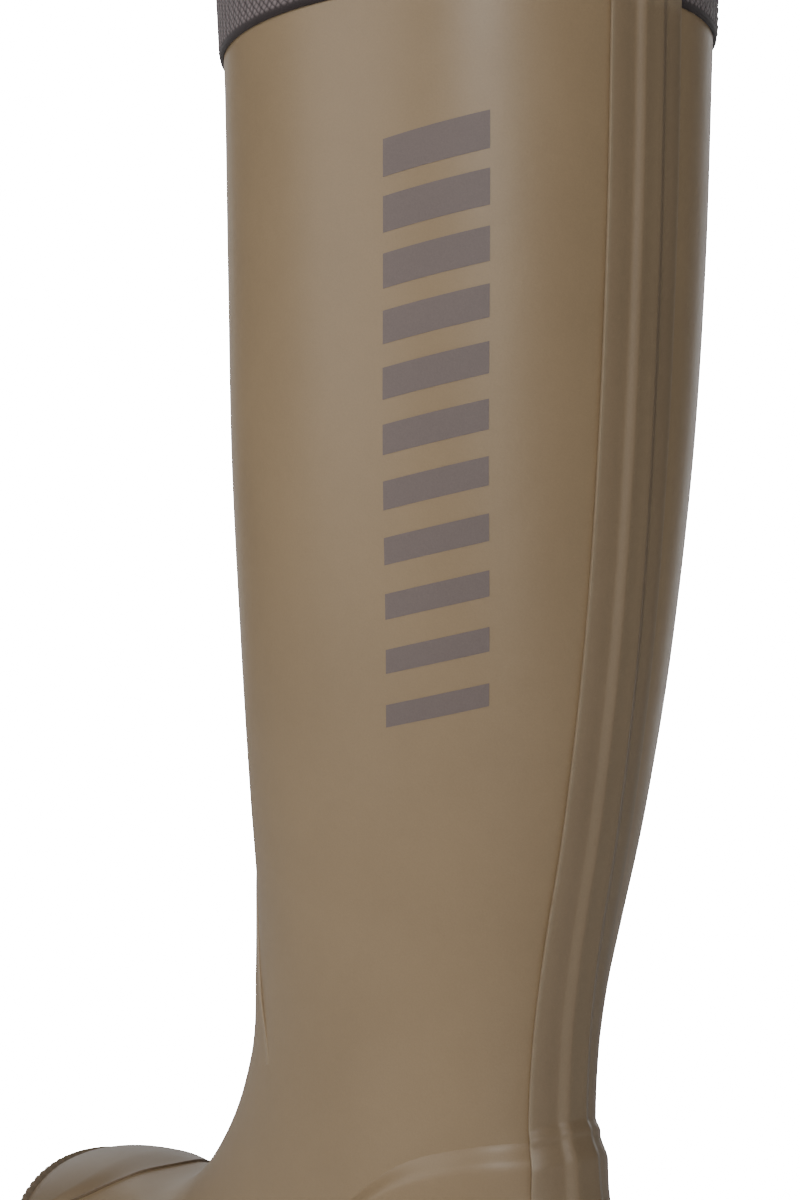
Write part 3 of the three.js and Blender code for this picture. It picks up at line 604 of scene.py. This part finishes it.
def tape_weave():
    """Staggered pads of grey yarn with painted shade in the gaps between them, along the hem and wherever
    the weave doesn't show; warp and weft count the tape's threads.
    """
    material, tree, shader = new_material("tape_weave", Sheen_Weight=0.15, Specular_IOR_Level=0.35)
    texture = add_node(tree, "ShaderNodeTexCoord").outputs
    place = texture["Object"]
    round_share = add_node(tree, "ShaderNodeSeparateXYZ", {0: texture["UV"]}).outputs[0]
    warp = math_node(tree, "MULTIPLY", round_share, TAPE_PADS)
    weft = attribute_value(tree, "weft")
    pads = math_node(tree, "MULTIPLY", diagonal_ribs(tree, math_node(tree, "ADD", warp, weft)),
                     diagonal_ribs(tree, math_node(tree, "SUBTRACT", warp, weft)))
    pillowy = math_node(tree, "POWER", pads, 0.6)
    raised = math_node(tree, "MULTIPLY", pillowy, attribute_value(tree, "shown"))
    fibres = noise(tree, place, 1800, 2)
    shade = math_node(tree, "MULTIPLY", raised, between(tree, fibres, 0.7, 1.2))
    yarn = tint(tree, shade, TAPE_GAP_SHADE, TAPE_YARN)
    clouds = between(tree, noise(tree, place, 60, 3), 0.85, 1.15)
    tree.links.new(tint(tree, 1.0, yarn, clouds, "MULTIPLY"), shader.inputs["Base Color"])
    tree.links.new(between(tree, fibres, 0.55, 0.85), shader.inputs["Roughness"])
    bump(tree, shader, raised, 0.0003, 0.7)
    return material


def pressed(name, dark, light, grain, roughness=(0.7, 0.9), depth=0.0003, **constants):
    """A pressed or foamed filler: two colours in grains of that scale."""
    material, tree, shader = new_material(name, **constants)
    place = add_node(tree, "ShaderNodeTexCoord").outputs["Object"]
    cells = add_node(tree, "ShaderNodeTexVoronoi", {"Vector": place, "Scale": grain}).outputs["Distance"]
    fine = noise(tree, place, grain * 2.5, 3)
    share = math_node(tree, "MULTIPLY", math_node(tree, "ADD", cells, fine), 0.75)
    tree.links.new(tint(tree, share, dark, light), shader.inputs["Base Color"])
    tree.links.new(between(tree, fine, *roughness), shader.inputs["Roughness"])
    bump(tree, shader, cells, depth, 0.6)
    return material


# The edge colours below are partly scuffing and partly painted: the lighter ones are painted highlight on
# rims that catch the light.
UPPER_RUBBER = rubber("upper_rubber", rgba(0.3, 0.21, 0.118), rgba(0.42, 0.335, 0.23))
OVERLAY_RUBBER = rubber("overlay_rubber", rgba(0.295, 0.206, 0.116), rgba(0.43, 0.345, 0.24), wear_and_light_amount=0.45)
# The counter's strong, light edge colour is a painted highlight along its rolled top edge.
COUNTER_RUBBER = rubber("counter_rubber", rgba(0.295, 0.206, 0.116), rgba(0.44, 0.345, 0.24),
                        gloss=(0.32, 0.48), wear_and_light_amount=0.7)
# The strip's darker base colour is painted shade, for its faces turned away from the key light.
STRIP_RUBBER = rubber("strip_rubber", rgba(0.235, 0.168, 0.1), rgba(0.4, 0.32, 0.22), wear_and_light_amount=0.45)
# The toe cap's dark edge colour is painted shade along its edges, for the groove at its rear edge.
CAP_RUBBER = rubber("toe_cap_rubber", rgba(0.24, 0.17, 0.101), rgba(0.12, 0.085, 0.055), wear_and_light_amount=0.8)
# The bumper's relief colour is painted shade in the knurl's grooves.
BUMPER_RUBBER = rubber("bumper_rubber", rgba(0.25, 0.19, 0.125), rgba(0.36, 0.29, 0.21),
                       gloss=(0.5, 0.65), relief=rgba(0.11, 0.082, 0.055))
SOLE_RUBBER = rubber("sole_rubber", rgba(0.085, 0.066, 0.05), rgba(0.16, 0.13, 0.1), gloss=(0.55, 0.75),
                     clouds=0.5, speckle=0.6)
PRINT_INK = rubber("print_ink", rgba(0.165, 0.126, 0.113), rgba(0.18, 0.14, 0.123), gloss=(0.48, 0.6),
                   clouds=0.3, speckle=0.5, wear_and_light_amount=0.2)
TAPE_WEAVE = tape_weave()
LEG_KNIT = knit("leg_knit", rgba(0.5, 0.44, 0.35), rgba(0.2, 0.165, 0.12), (240, 330))
FOOT_KNIT = knit("foot_knit", rgba(0.5, 0.44, 0.35), rgba(0.2, 0.165, 0.12), (240, 200))
BED_KNIT = knit("bed_knit", rgba(0.36, 0.31, 0.25), rgba(0.13, 0.105, 0.08), (160, 60))
FIBRE = pressed("stiffener_fibre", rgba(0.1, 0.08, 0.055), rgba(0.24, 0.2, 0.15), 420)
CORK = pressed("pressed_cork", rgba(0.16, 0.075, 0.03), rgba(0.5, 0.31, 0.16), 380, depth=0.0006)
BOARD = pressed("insole_fibre", rgba(0.2, 0.15, 0.085), rgba(0.42, 0.33, 0.2), 700)
FOAM = pressed("sponge_rubber", rgba(0.19, 0.165, 0.135), rgba(0.34, 0.31, 0.265), 900)
STEEL = pressed("spring_steel", rgba(0.35, 0.36, 0.38), rgba(0.62, 0.63, 0.65), 160,
                roughness=(0.28, 0.42), depth=0.00003, Metallic=1)


# ---- the upper and its lining -------------------------------------------------------------------
def steps(stations):
    """Spreads a sheet's rows over the given rises, the same number between each pair."""
    return lambda share: np.interp(share, np.linspace(0, 1, len(stations)), stations)


def hand_waver(turn, rise):
    """The slight unevenness of a sheet laid by hand, in millimetres."""
    broad = np.sin(2 * turn + 0.9 * rise) * np.sin(0.75 * rise + 1)
    short = np.sin(5 * turn - 1.7 * rise + 2) * np.sin(1.9 * rise)
    return 0.16 * broad + 0.07 * short


def upper():
    piece = flat_sheet("upper", 160, 190)
    rises = steps([0, 2.2, 4.4, 6.4, 8, 9.6, 11.5, 14, COLLAR])

    def place(across, along, _):
        turn = across * FULL_TURN
        rise = rises(along)
        return laid(turn, rise, hand_waver(turn, rise) * smooth((COLLAR - rise) * 2))

    across, along = lay(piece, place)
    edge_marks(piece, across, along, None, 480)
    in_edit_mode(piece, merge_doubles)
    apply_modifier(piece, "SOLIDIFY", thickness=RUBBER_WALL * MM, offset=-1)
    smooth_shade(piece, 60)
    return settle(piece, UPPER_RUBBER, "upper_rubber", "foot_shell", "leg_shell")


STIFFENER_MARGINS = (0.35, 1.1)  # how far past a stiffener, in spread and in rise, the lining steps in


def behind(turn, rise, middle, spread, top):
    """1 behind a stiffener and a margin round it, fading to 0 beyond."""
    more_spread, more_rise = STIFFENER_MARGINS
    away = np.abs(np.arctan2(np.sin(turn - middle), np.cos(turn - middle)))
    return smooth((spread + more_spread - away) * 4) * smooth((top + more_rise - rise) * 1.2)


def lining_depth(turn, rise):
    toe = behind(turn, rise, 0, PUFF_SPREAD, PUFF_TOP)
    heel = behind(turn, rise, HALF_TURN, STIFFENER_SPREAD, STIFFENER_TOP)
    return RUBBER_WALL + LINING_CLEARANCE + (STIFFENER_WALL + LINING_CLEARANCE) * np.maximum(toe, heel)


def lining(name, node, columns, rows, stations, material):
    piece = flat_sheet(name, columns, rows)
    rises = steps(stations)

    def place(across, along, _):
        turn = across * FULL_TURN
        above_board = rise_at(turn, last_point(turn, 0 * turn)[..., 2] + BOARD_THICKNESS + CLEARANCE)
        rise = np.maximum(rises(along), above_board if stations[0] == 0 else 0)
        return laid(turn, rise, -lining_depth(turn, rise))

    lay(piece, place)
    in_edit_mode(piece, merge_doubles)
    apply_modifier(piece, "SOLIDIFY", thickness=LINING_WALL * MM, offset=-1)
    smooth_shade(piece, 60)
    settle(piece, material, "lining_knit", node)
    return piece


# ---- sheets laid over the upper -----------------------------------------------------------------
OVERLAY_ENDS = [0, 0.02, 0.06, 0.5, 0.94, 0.98, 1]  # closer rows at both ends of a sheet
COUNTER_ROWS = [0, 0.5, 0.8, 0.93, 0.985, 1]
CAP_ROWS = [0, 0.45, 0.8, 0.93, 0.985, 1]
COUNTER_CORNER = 4  # how far above the foxing the counter's front corners end


def counter_turn(turn):
    """0 at the back and 1 at the counter's front ends."""
    return np.abs(turn - HALF_TURN) / COUNTER_SPREAD


def counter_height(turn):
    edge = last_point(turn, 0 * turn)[..., 2] + FOXING_RISE + COUNTER_CORNER
    return mix(COUNTER_TOP, edge, np.clip(counter_turn(turn), 0, 1) ** COUNTER_SQUARENESS)


def counter_swell(turn, height):
    """How far the counter stands out there, for what lies over it."""
    side = inside(counter_turn(turn), 5)
    return COUNTER_WALL * smooth((counter_height(turn) - height) / COUNTER_ROLL + 0.12) * side


def overlay(name, columns, rows, place, size, edge_radius, material, node):
    piece = flat_slab(name, columns, rows)
    across, along = lay(piece, place)
    edge_marks(piece, across, along, *size)
    in_edit_mode(piece, face_outwards)
    soften(piece, edge_radius)
    smooth_shade(piece)
    return settle(piece, material, "upper_rubber", node)


def heel_counter():
    ends = steps(OVERLAY_ENDS)
    rows = steps(COUNTER_ROWS)

    def place(across, along, front):
        turn = HALF_TURN + COUNTER_SPREAD * (2 * ends(across) - 1)
        foot = last_point(turn, 0 * turn)[..., 2]
        height = mix(foot, counter_height(turn), rows(along))
        rolled = smooth((counter_height(turn) - height) / COUNTER_ROLL) * inside(counter_turn(turn), 8)
        full = mix(-BEDDING / 2, OVERLAY_CLEARANCE + COUNTER_WALL, rolled)
        return laid(turn, rise_at(turn, height), np.where(front, full, -BEDDING))

    # The 9 mm band of edge tint paints the highlight on the counter's rolled top edge.
    return overlay("heel_counter_cover", 150, 60, place, (160, 75, 9), 0.25, COUNTER_RUBBER, "heel_counter")


def cap_rise(turn):
    side = np.clip(np.abs(turn) / CAP_SPREAD, 0, 1)
    return CAP_FOOT + CAP_END + CAP_TOP * np.sqrt(1 - side**2)


def toe_cap():
    ends = steps(OVERLAY_ENDS)
    rows = steps(CAP_ROWS)

    def place(across, along, front):
        turn = CAP_SPREAD * (2 * ends(across) - 1)
        up = rows(along)
        full = inside(up, 7) * inside(np.abs(turn) / CAP_SPREAD, 8)
        wall = OVERLAY_CLEARANCE + mix(EDGE_WALL, TOE_CAP_WALL, full)
        return laid(turn, mix(CAP_FOOT, cap_rise(turn), up), np.where(front, wall, -BEDDING))

    return overlay("toe_cap_cover", 120, 70, place, (110, 90), 0.2, CAP_RUBBER, "toe_cap")


def instep_patch():
    def place(across, along, front):
        side = 2 * across - 1
        crown = np.sqrt(1 - 0.9 * side**2)
        rise = mix(INSTEP_LOW + 0.25 * side**2, mix(INSTEP_CORNER, INSTEP_HIGH, crown), along)
        narrowing = smooth((rise - INSTEP_NARROWS_FROM) / INSTEP_NARROWS_OVER)
        turn = INSTEP_SPREAD * side * mix(*INSTEP_NARROWING, narrowing)
        full = inside(along, 9) * inside(np.abs(side), 9)
        wall = CLEARANCE * 0.5 + mix(EDGE_WALL, INSTEP_WALL, full)
        return laid(turn, rise, np.where(front, mix(-BEDDING / 2, wall, smooth(along * 2)), -BEDDING))

    return overlay("instep_patch_cover", 90, 70, place, (85, 85), 0.12, OVERLAY_RUBBER, "instep_patch")


def counter_under_strip(height):
    """How far the strip is lifted where it crosses the counter."""
    step = smooth((COUNTER_TOP + 4 - height) / 3)
    back = np.full(np.shape(height), HALF_TURN)
    over = (OVERLAY_CLEARANCE + STRIP_CLEARANCE + EDGE_WALL - CLEARANCE) * step
    return over + counter_swell(back, np.minimum(height, COUNTER_TOP))


HALF_STRIP = STRIP_WIDTH / 2
HALF_BASE = RIB_BASE / 2
HALF_TOP = RIB_TOP / 2
# The strip's rows, from its left edge over the rib to its right edge.
STRIP_STATIONS = [
    -HALF_STRIP, -HALF_STRIP + 0.8, -HALF_STRIP + 1.4, -HALF_BASE - 0.6, -HALF_BASE + 0.6, -HALF_TOP - 0.4,
    -HALF_TOP + 0.5, HALF_TOP - 0.3, HALF_TOP + 0.2, HALF_BASE - 0.5, HALF_BASE + 0.4, HALF_STRIP - 1.4,
    HALF_STRIP - 0.8, HALF_STRIP,
]
STRIP_LIFT = (0.9, 0.3)  # the width of its edge that stands clear of the upper, and by how much


def strip_profile(sideways):
    """How high the strip's top is over its foot: a flange on each side and a rib with a dished crown."""
    away = np.abs(sideways)
    rib = smooth((HALF_BASE + 0.6 - away) / (HALF_BASE - HALF_TOP + 1))
    dished = 0.25 * smooth(1 - away / HALF_TOP)
    flange = STRIP_WALL * mix(0.75, 1, smooth((HALF_STRIP - away) / 3))
    return flange + RIB_HEIGHT * rib - dished


def back_strip():
    stations = steps(STRIP_STATIONS)
    low = rise_at(HALF_TURN, last_point(HALF_TURN, 0.0)[2] + FOXING_RISE + CLEARANCE)
    high = rise_at(HALF_TURN, BOOT_HEIGHT - BINDING_OUTSIDE + 1.5)
    lifted_edge, lift = STRIP_LIFT

    def place(across, along, front):
        sideways = stations(across)
        rise = mix(low, high, along)
        back = np.full(rise.shape, HALF_TURN)
        turn = HALF_TURN - (sideways - STRIP_OFF) / per_radian(back, rise)
        under = counter_under_strip(last_point(back, rise)[..., 2])
        foot = np.where(HALF_STRIP - np.abs(sideways) < lifted_edge, lift, -BEDDING)
        top = under + CLEARANCE + strip_profile(sideways)
        return laid(turn, rise, np.where(front, top, under + foot))

    return overlay("back_strip_cover", 44, 260, place, (STRIP_WIDTH, 330), 0.14, STRIP_RUBBER, "back_strip")


def toe_turn(turn):
    turn = np.mod(turn, FULL_TURN)
    return np.abs(np.where(turn > HALF_TURN, turn - FULL_TURN, turn))


CAP_RAMP = (0.28, 8)  # how far past its end the wrap is still lifted, and how sharply it comes down
COUNTER_RAMP = (1.07, 14)


def overlay_top(turn):
    """How far the cap and the counter stand out at the feather edge, for what is wrapped over them."""
    turn = np.mod(turn, FULL_TURN)
    past_cap, cap_fall = CAP_RAMP
    counter_end, counter_fall = COUNTER_RAMP
    cap = smooth((CAP_SPREAD + past_cap - toe_turn(turn)) * cap_fall)
    counter = smooth((counter_end - counter_turn(turn)) * counter_fall)
    cap_stands = TOE_CAP_WALL + OVERLAY_CLEARANCE + CLEARANCE
    return np.maximum(cap * cap_stands, counter * (COUNTER_WALL + OVERLAY_CLEARANCE))


# The tape's front from its foot to its top edge, and then its back: height above the feather, wall.
FOXING_FRONT = [
    (-5, 1.5), (-4.4, 1.8), (-3.2, 1.8), (-2.6, 1.7), (-2.3, 1.25), (-2, 1.7),
    (-1.2, 1.8), (1, 1.8), (3, 1.8), (5, 1.8), (6.2, 1.75), (6.6, 1.2),
    (6.9, 1.75), (7.5, 1.8), (8.5, 1.75), (9.6, 1.6), (10.5, 1.3), (11, 0.8),
]
FOXING_BACK = [(height, -0.05) for height in (11, 8, 4, 1, 0.2, -5)]
FOXING_RIMS = [0, 1, 15, 16, 17]  # the section's points that take the edge tint, partly scuffing and partly painted highlight


def foxing_strip():
    """A tape round the join of upper and sole, with a bead on top and two grooves rolled into it."""

    def place(turn, section):
        return beside_feather(turn, section[:, 0], overlay_top(turn) + CLEARANCE + section[:, 1])

    piece, index = hoop("foxing_tape", 264, np.array(FOXING_FRONT + FOXING_BACK), place)
    mark(piece, "edge", np.isin(index, FOXING_RIMS).astype(float))
    smooth_shade(piece, 50)
    return settle(piece, OVERLAY_RUBBER, "upper_rubber", "foxing_strip")


def diamonds(u, v):
    """Diamonds that cross at each whole count, from 0 in their grooves to 1 on their points."""
    return np.abs(np.cos(HALF_TURN * (u + v))) * np.abs(np.cos(HALF_TURN * (u - v)))


def knurl(across, along):
    return diamonds(across * BUMPER_LENGTH / (2 * BUMPER_KNURL), along * BUMPER_RISE / (2 * BUMPER_KNURL))


def toe_bumper():
    piece = flat_slab("toe_bumper_cover", 300, 36)

    def place(across, along, front):
        turn = BUMPER_SPREAD * (2 * across - 1)
        crown = mix(BUMPER_END, BUMPER_RISE, 1 - (turn / BUMPER_SPREAD) ** 2)
        height = FOXING_RISE + 0.1 + crown * along
        full = inside(along, 8) * smooth(along * 8)
        teeth = 0.45 * knurl(across, along) * full
        wall = BUMPER_WALL * mix(0.66, 0.73, full) + teeth
        under = overlay_top(turn)
        return beside_feather(turn, height, np.where(front, under + CLEARANCE + wall, under - 0.4))

    across, along = lay(piece, place)
    edge_marks(piece, across, along, BUMPER_LENGTH, BUMPER_RISE, 0.9)
    # The relief value darkens the grooves between the teeth: painted shade.
    mark(piece, "relief", mix(0.25, 1, knurl(across, along)))
    in_edit_mode(piece, face_outwards)
    soften(piece, 0.12)
    smooth_shade(piece, 30)
    return settle(piece, BUMPER_RUBBER, "bumper_rubber", "toe_bumper")


# ---- collar tape --------------------------------------------------------------------------------
YARN_RELIEF = 0.4


def tape_relief(turn, depth):
    return diamonds(turn / FULL_TURN * TAPE_PADS, depth / TAPE_PITCH) ** 0.7


def tape_section():
    """The tape's section as (depth below the edge, offset, share of its weave that shows)."""
    lined = RUBBER_WALL + LINING_CLEARANCE + LINING_WALL + CLEARANCE
    skin = CLEARANCE + BINDING_WALL - 0.42
    outer = [(depth, skin) for depth in np.arange(BINDING_OUTSIDE - 0.4, 0, -TAPE_PITCH / 4)]
    over = [(-0.9, skin - 0.25), (-1.15, -0.4), (-1.2, -1.5), (-1.2, -2.7), (-1.15, -lined + 0.2),
            (-0.8, -lined - 0.45)]
    inner = [(depth, -lined - 0.6) for depth in np.arange(0.1, BINDING_INSIDE - 0.3, 0.9)]
    back = [(BINDING_INSIDE, -lined), (6, -lined + 0.1), (0, -lined + 0.2), (-0.2, -2), (0, 0.05), (6, 0.05),
            (13, 0.05), (BINDING_OUTSIDE, 0.05), (BINDING_OUTSIDE, 0.45)]
    # Where the weave fades out at the hem, the tape takes the painted gap shade.
    hem = [smooth((BINDING_OUTSIDE - 1.2 - depth) / 0.8) for depth, _ in outer]
    shown = hem + [1] * len(over + inner) + [0] * len(back)
    return np.column_stack([np.array(outer + over + inner + back), shown])


def collar_tape():
    """A woven tape folded over the edge of rubber and lining, its two selvedges turned in."""
    section = tape_section()

    def place(turn, points):
        depth, offset, shown = points.T
        relief = tape_relief(turn, depth) * shown
        outwards = np.where(offset > -1, 1, -1)
        return beside_collar(turn, depth, offset + YARN_RELIEF * relief * outwards)

    piece, index = hoop("collar_tape", TAPE_PADS * 4, section, place)
    mark(piece, "shown", section[index][:, 2])
    mark(piece, "weft", section[index][:, 0] / TAPE_PITCH)
    smooth_shade(piece, 60)
    settle(piece, TAPE_WEAVE, "collar_tape", "top_binding")
    return piece


# ---- print --------------------------------------------------------------------------------------
THINNEST_BAR, THICKEST_BAR = 0.42, 0.68  # as shares of the bars' pitch, from the bottom to the top
INK_OVER, INK_UNDER = 0.09, 0.15


def print_bar(low, thickness):
    piece = flat_slab("print_bar", 24, 8)

    def place(across, along, front):
        middle = np.full(across.shape, PRINT_TURN)
        rise = rise_at(middle, low + PRINT_SLANT * across + thickness * along)
        turn = PRINT_TURN + PRINT_WIDTH * (across - 0.5) / per_radian(middle, rise)
        return laid(turn, rise, hand_waver(turn, rise) + np.where(front, INK_OVER, -INK_UNDER))

    across, along = lay(piece, place)
    edge_marks(piece, across, along, PRINT_WIDTH, thickness, 0.6)
    return piece


def leg_print():
    """A column of slanted bars printed on the outer side of the leg."""
    pitch = (PRINT_TOP - PRINT_BOTTOM - PRINT_SLANT) / PRINT_BARS
    bars = []
    for bar in range(PRINT_BARS):
        thickness = pitch * mix(THINNEST_BAR, THICKEST_BAR, bar / (PRINT_BARS - 1))
        bars.append(print_bar(PRINT_BOTTOM + bar * pitch, thickness))
    whole = joined(bars, "printed_bars")
    in_edit_mode(whole, face_outwards)
    smooth_shade(whole)
    return settle(whole, PRINT_INK, "print_ink", "leg_print")


# ---- sole ---------------------------------------------------------------------------------------
def outline(turn, offset, height=0.0):
    return beside_feather(turn, np.full(turn.shape, height), np.full(turn.shape, offset))


def sole_layer(name, around, across_count, offset, top, bottom, height=0.0):
    """A layer of the sole: rungs from the outer side's outline to the inner side's.

    top and bottom are functions of y and of the share across, and give heights.
    """
    piece = flat_slab(name, around, across_count)

    def place(across, along, front):
        turn = mix(0.02, HALF_TURN - 0.02, across)
        points = mix(outline(turn, offset, height), outline(-turn, offset, height), along[:, None])
        points[:, 2] = np.where(front, top(points[:, 1], along), bottom(points[:, 1], along))
        return points

    lay(piece, place)
    in_edit_mode(piece, face_outwards)
    return piece


def boolean(piece, other, operation):
    apply_modifier(piece, "BOOLEAN", object=other, operation=operation, solver="EXACT")
    bpy.data.objects.remove(other)


def lug_bar(x0, x1, y0, y1, slant):
    bpy.ops.object.select_all(action="DESELECT")
    bpy.ops.mesh.primitive_cube_add(size=1)
    bar = named("lug_bar")
    shares = points_of(bar) + 0.5
    x = mix(x0, x1, shares[:, 0])
    y = mix(y0, y1, shares[:, 1]) + slant * np.abs(x)
    z = mix(-5, FEATHER_HEEL, shares[:, 2])
    put_points(bar, np.stack([x, y, z], 1))
    return bar


LUG_COLUMN = 17  # how far from the middle the gap between inner and outer lugs lies
LUG_SLANT = 0.28


def lug_pattern():
    """Rows of four bars: slanted under the ball of the foot, straight under the heel."""
    bars = []
    depth = LUG_PITCH - LUG_GAP
    far, near = LUG_COLUMN + LUG_GAP / 2, LUG_COLUMN - LUG_GAP / 2
    front_rows = np.arange(WAIST_END - LUG_PITCH, -TOE_REACH - 30, -LUG_PITCH)
    heel_rows = np.arange(HEEL_REACH - LUG_PITCH + LUG_GAP, HEEL_BREAST - LUG_PITCH, -LUG_PITCH)
    rows = [(y, LUG_SLANT) for y in front_rows] + [(y, 0) for y in heel_rows]
    for y, slant in rows:
        for x0, x1 in [(-BALL_WIDTH, -far), (-near, 0), (0, near), (far, BALL_WIDTH)]:
            bars.append(lug_bar(x0, x1, y, y + depth, slant))
    pattern = joined(bars, "lug_pattern")
    in_edit_mode(pattern, merge_doubles)
    in_edit_mode(pattern, face_outwards)
    return pattern


OUTSOLE_OFFSET = max(TOE_CAP_WALL, COUNTER_WALL) + 2 * CLEARANCE + FOXING_WALL + OUTSOLE_LIP


def outsole():
    def top(y, _):
        return feather_height(y) - MIDSOLE_THICKNESS - CLEARANCE

    def root(y, _):
        return tread_height(y) + LUG_DEPTH

    def above_root(y, _):
        return root(y, _) + 1

    def tread(y, _):
        return tread_height(y)

    piece = sole_layer("outsole_rubber", 120, 2, OUTSOLE_OFFSET, top, root)
    lugs = sole_layer("lugs", 120, 2, OUTSOLE_OFFSET - 0.01, above_root, tread)
    boolean(lugs, lug_pattern(), "INTERSECT")
    boolean(piece, lugs, "UNION")
    soften(piece, 0.5, angle=50)
    smooth_shade(piece, 40)
    return settle(piece, SOLE_RUBBER, "outsole_rubber", "outsole")


FOOTBED_CUP = 2  # how far the footbed curls up at its sides


def footbed_cover():
    inset = RUBBER_WALL + STIFFENER_WALL + LINING_WALL + 4 * LINING_CLEARANCE
    bed = BOARD_THICKNESS + CLEARANCE + FOOTBED_THICKNESS + CLEARANCE

    def bottom(y, share):
        return feather_height(y) + bed + FOOTBED_CUP * (2 * share - 1) ** 4

    def top(y, share):
        return bottom(y, share) + COVER_THICKNESS

    piece = sole_layer("footbed_jersey", 110, 24, -inset, top, bottom, BOARD_THICKNESS + CLEARANCE)
    smooth_shade(piece)
    settle(piece, BED_KNIT, "lining_knit", "footbed_cover")
    return piece


# ---- light and floor ----------------------------------------------------------------------------
FILL = 0.13  # the room's even light on the boot
WHITE = 24  # the white seen behind it
FLOOR_GLOW = 24  # the same white on the floor
LEG_MIDDLE = Vector((0, LAST_SHIFT[1] * MM, 0.226))


def soft_light(name, degrees_left, height, distance, width, tall, power):
    """A softbox, turned that far to the left of the camera as seen from the leg, aimed at the leg."""
    towards = -CAMERA_AIM
    angle = math.radians(degrees_left)
    turned = Vector((towards.x * math.cos(angle) + towards.y * math.sin(angle),
                     towards.y * math.cos(angle) - towards.x * math.sin(angle), 0))
    place = LEG_MIDDLE + turned * distance + Vector((0, 0, height))
    bpy.ops.object.light_add(type="AREA", location=place)
    light = bpy.context.active_object
    light.name = name
    light.rotation_euler = (LEG_MIDDLE - place).to_track_quat("-Z", "Y").to_euler()
    light.data.shape = "RECTANGLE"
    light.data.size = width
    light.data.size_y = tall
    light.data.energy = power


def studio():
    soft_light("strip_softbox", -3, height=0.1, distance=1.6, width=0.4, tall=1.2, power=5)
    soft_light("left_softbox", 62, height=0.3, distance=1.5, width=1.4, tall=1.6, power=12.5)
    soft_light("roll_softbox", 4, height=0.62, distance=1.4, width=0.4, tall=0.25, power=5)
    soft_light("top_softbox", 20, height=1.6, distance=0.7, width=1.2, tall=1.2, power=1.5)
    soft_light("rim_strip", -150, height=0.2, distance=1.4, width=0.3, tall=1.2, power=2)
    soft_light("back_softbox", 170, height=0.5, distance=1.8, width=1.4, tall=1.4, power=5)


def floor():
    """A pale floor that reads as white, and still takes the boot's shadow."""
    bpy.ops.object.select_all(action="DESELECT")
    bpy.ops.mesh.primitive_circle_add(vertices=96, radius=3, fill_type="NGON")
    ground = named("studio_floor")
    material, tree, shader = new_material("pale_floor", Roughness=0.9, Base_Color=rgba(0.93, 0.93, 0.93),
                                          Emission_Color=rgba(1, 1, 1))
    seen = add_node(tree, "ShaderNodeLightPath").outputs["Is Camera Ray"]
    tree.links.new(between(tree, seen, 0.0, FLOOR_GLOW), shader.inputs["Emission Strength"])
    ground.data.materials.append(material)


def white_world():
    """White behind the boot, and a dimmer even fill on it."""
    world = bpy.data.worlds.new("studio_white")
    world.use_nodes = True
    bpy.context.scene.world = world
    tree = world.node_tree
    background = tree.nodes["Background"]
    seen = add_node(tree, "ShaderNodeLightPath").outputs["Is Camera Ray"]
    background.inputs["Color"].default_value = rgba(1, 1, 1)
    tree.links.new(between(tree, seen, FILL, WHITE), background.inputs["Strength"])


# ---- assembly -----------------------------------------------------------------------------------
upper()
lining("leg_jersey", "leg_lining", 120, 90, [LEG_JOIN + 0.04, 12, 15, COLLAR], LEG_KNIT)
lining("foot_jersey", "foot_lining", 120, 100, [0, 2.2, 4.4, 6.4, 8, LEG_JOIN], FOOT_KNIT)
heel_counter()
toe_cap()
instep_patch()
back_strip()
foxing_strip()
toe_bumper()
collar_tape()
leg_print()
outsole()
footbed_cover()

FILLERS = {
    "toe_puff": FIBRE,
    "heel_stiffener": FIBRE,
    "footbed": CORK,
    "insole_board": BOARD,
    "shank": STEEL,
    "midsole": FOAM,
    "heel_core": FOAM,
}
for node, material in FILLERS.items():
    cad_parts[node].data.materials.clear()
    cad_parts[node].data.materials.append(material)

studio()
floor()
white_world()
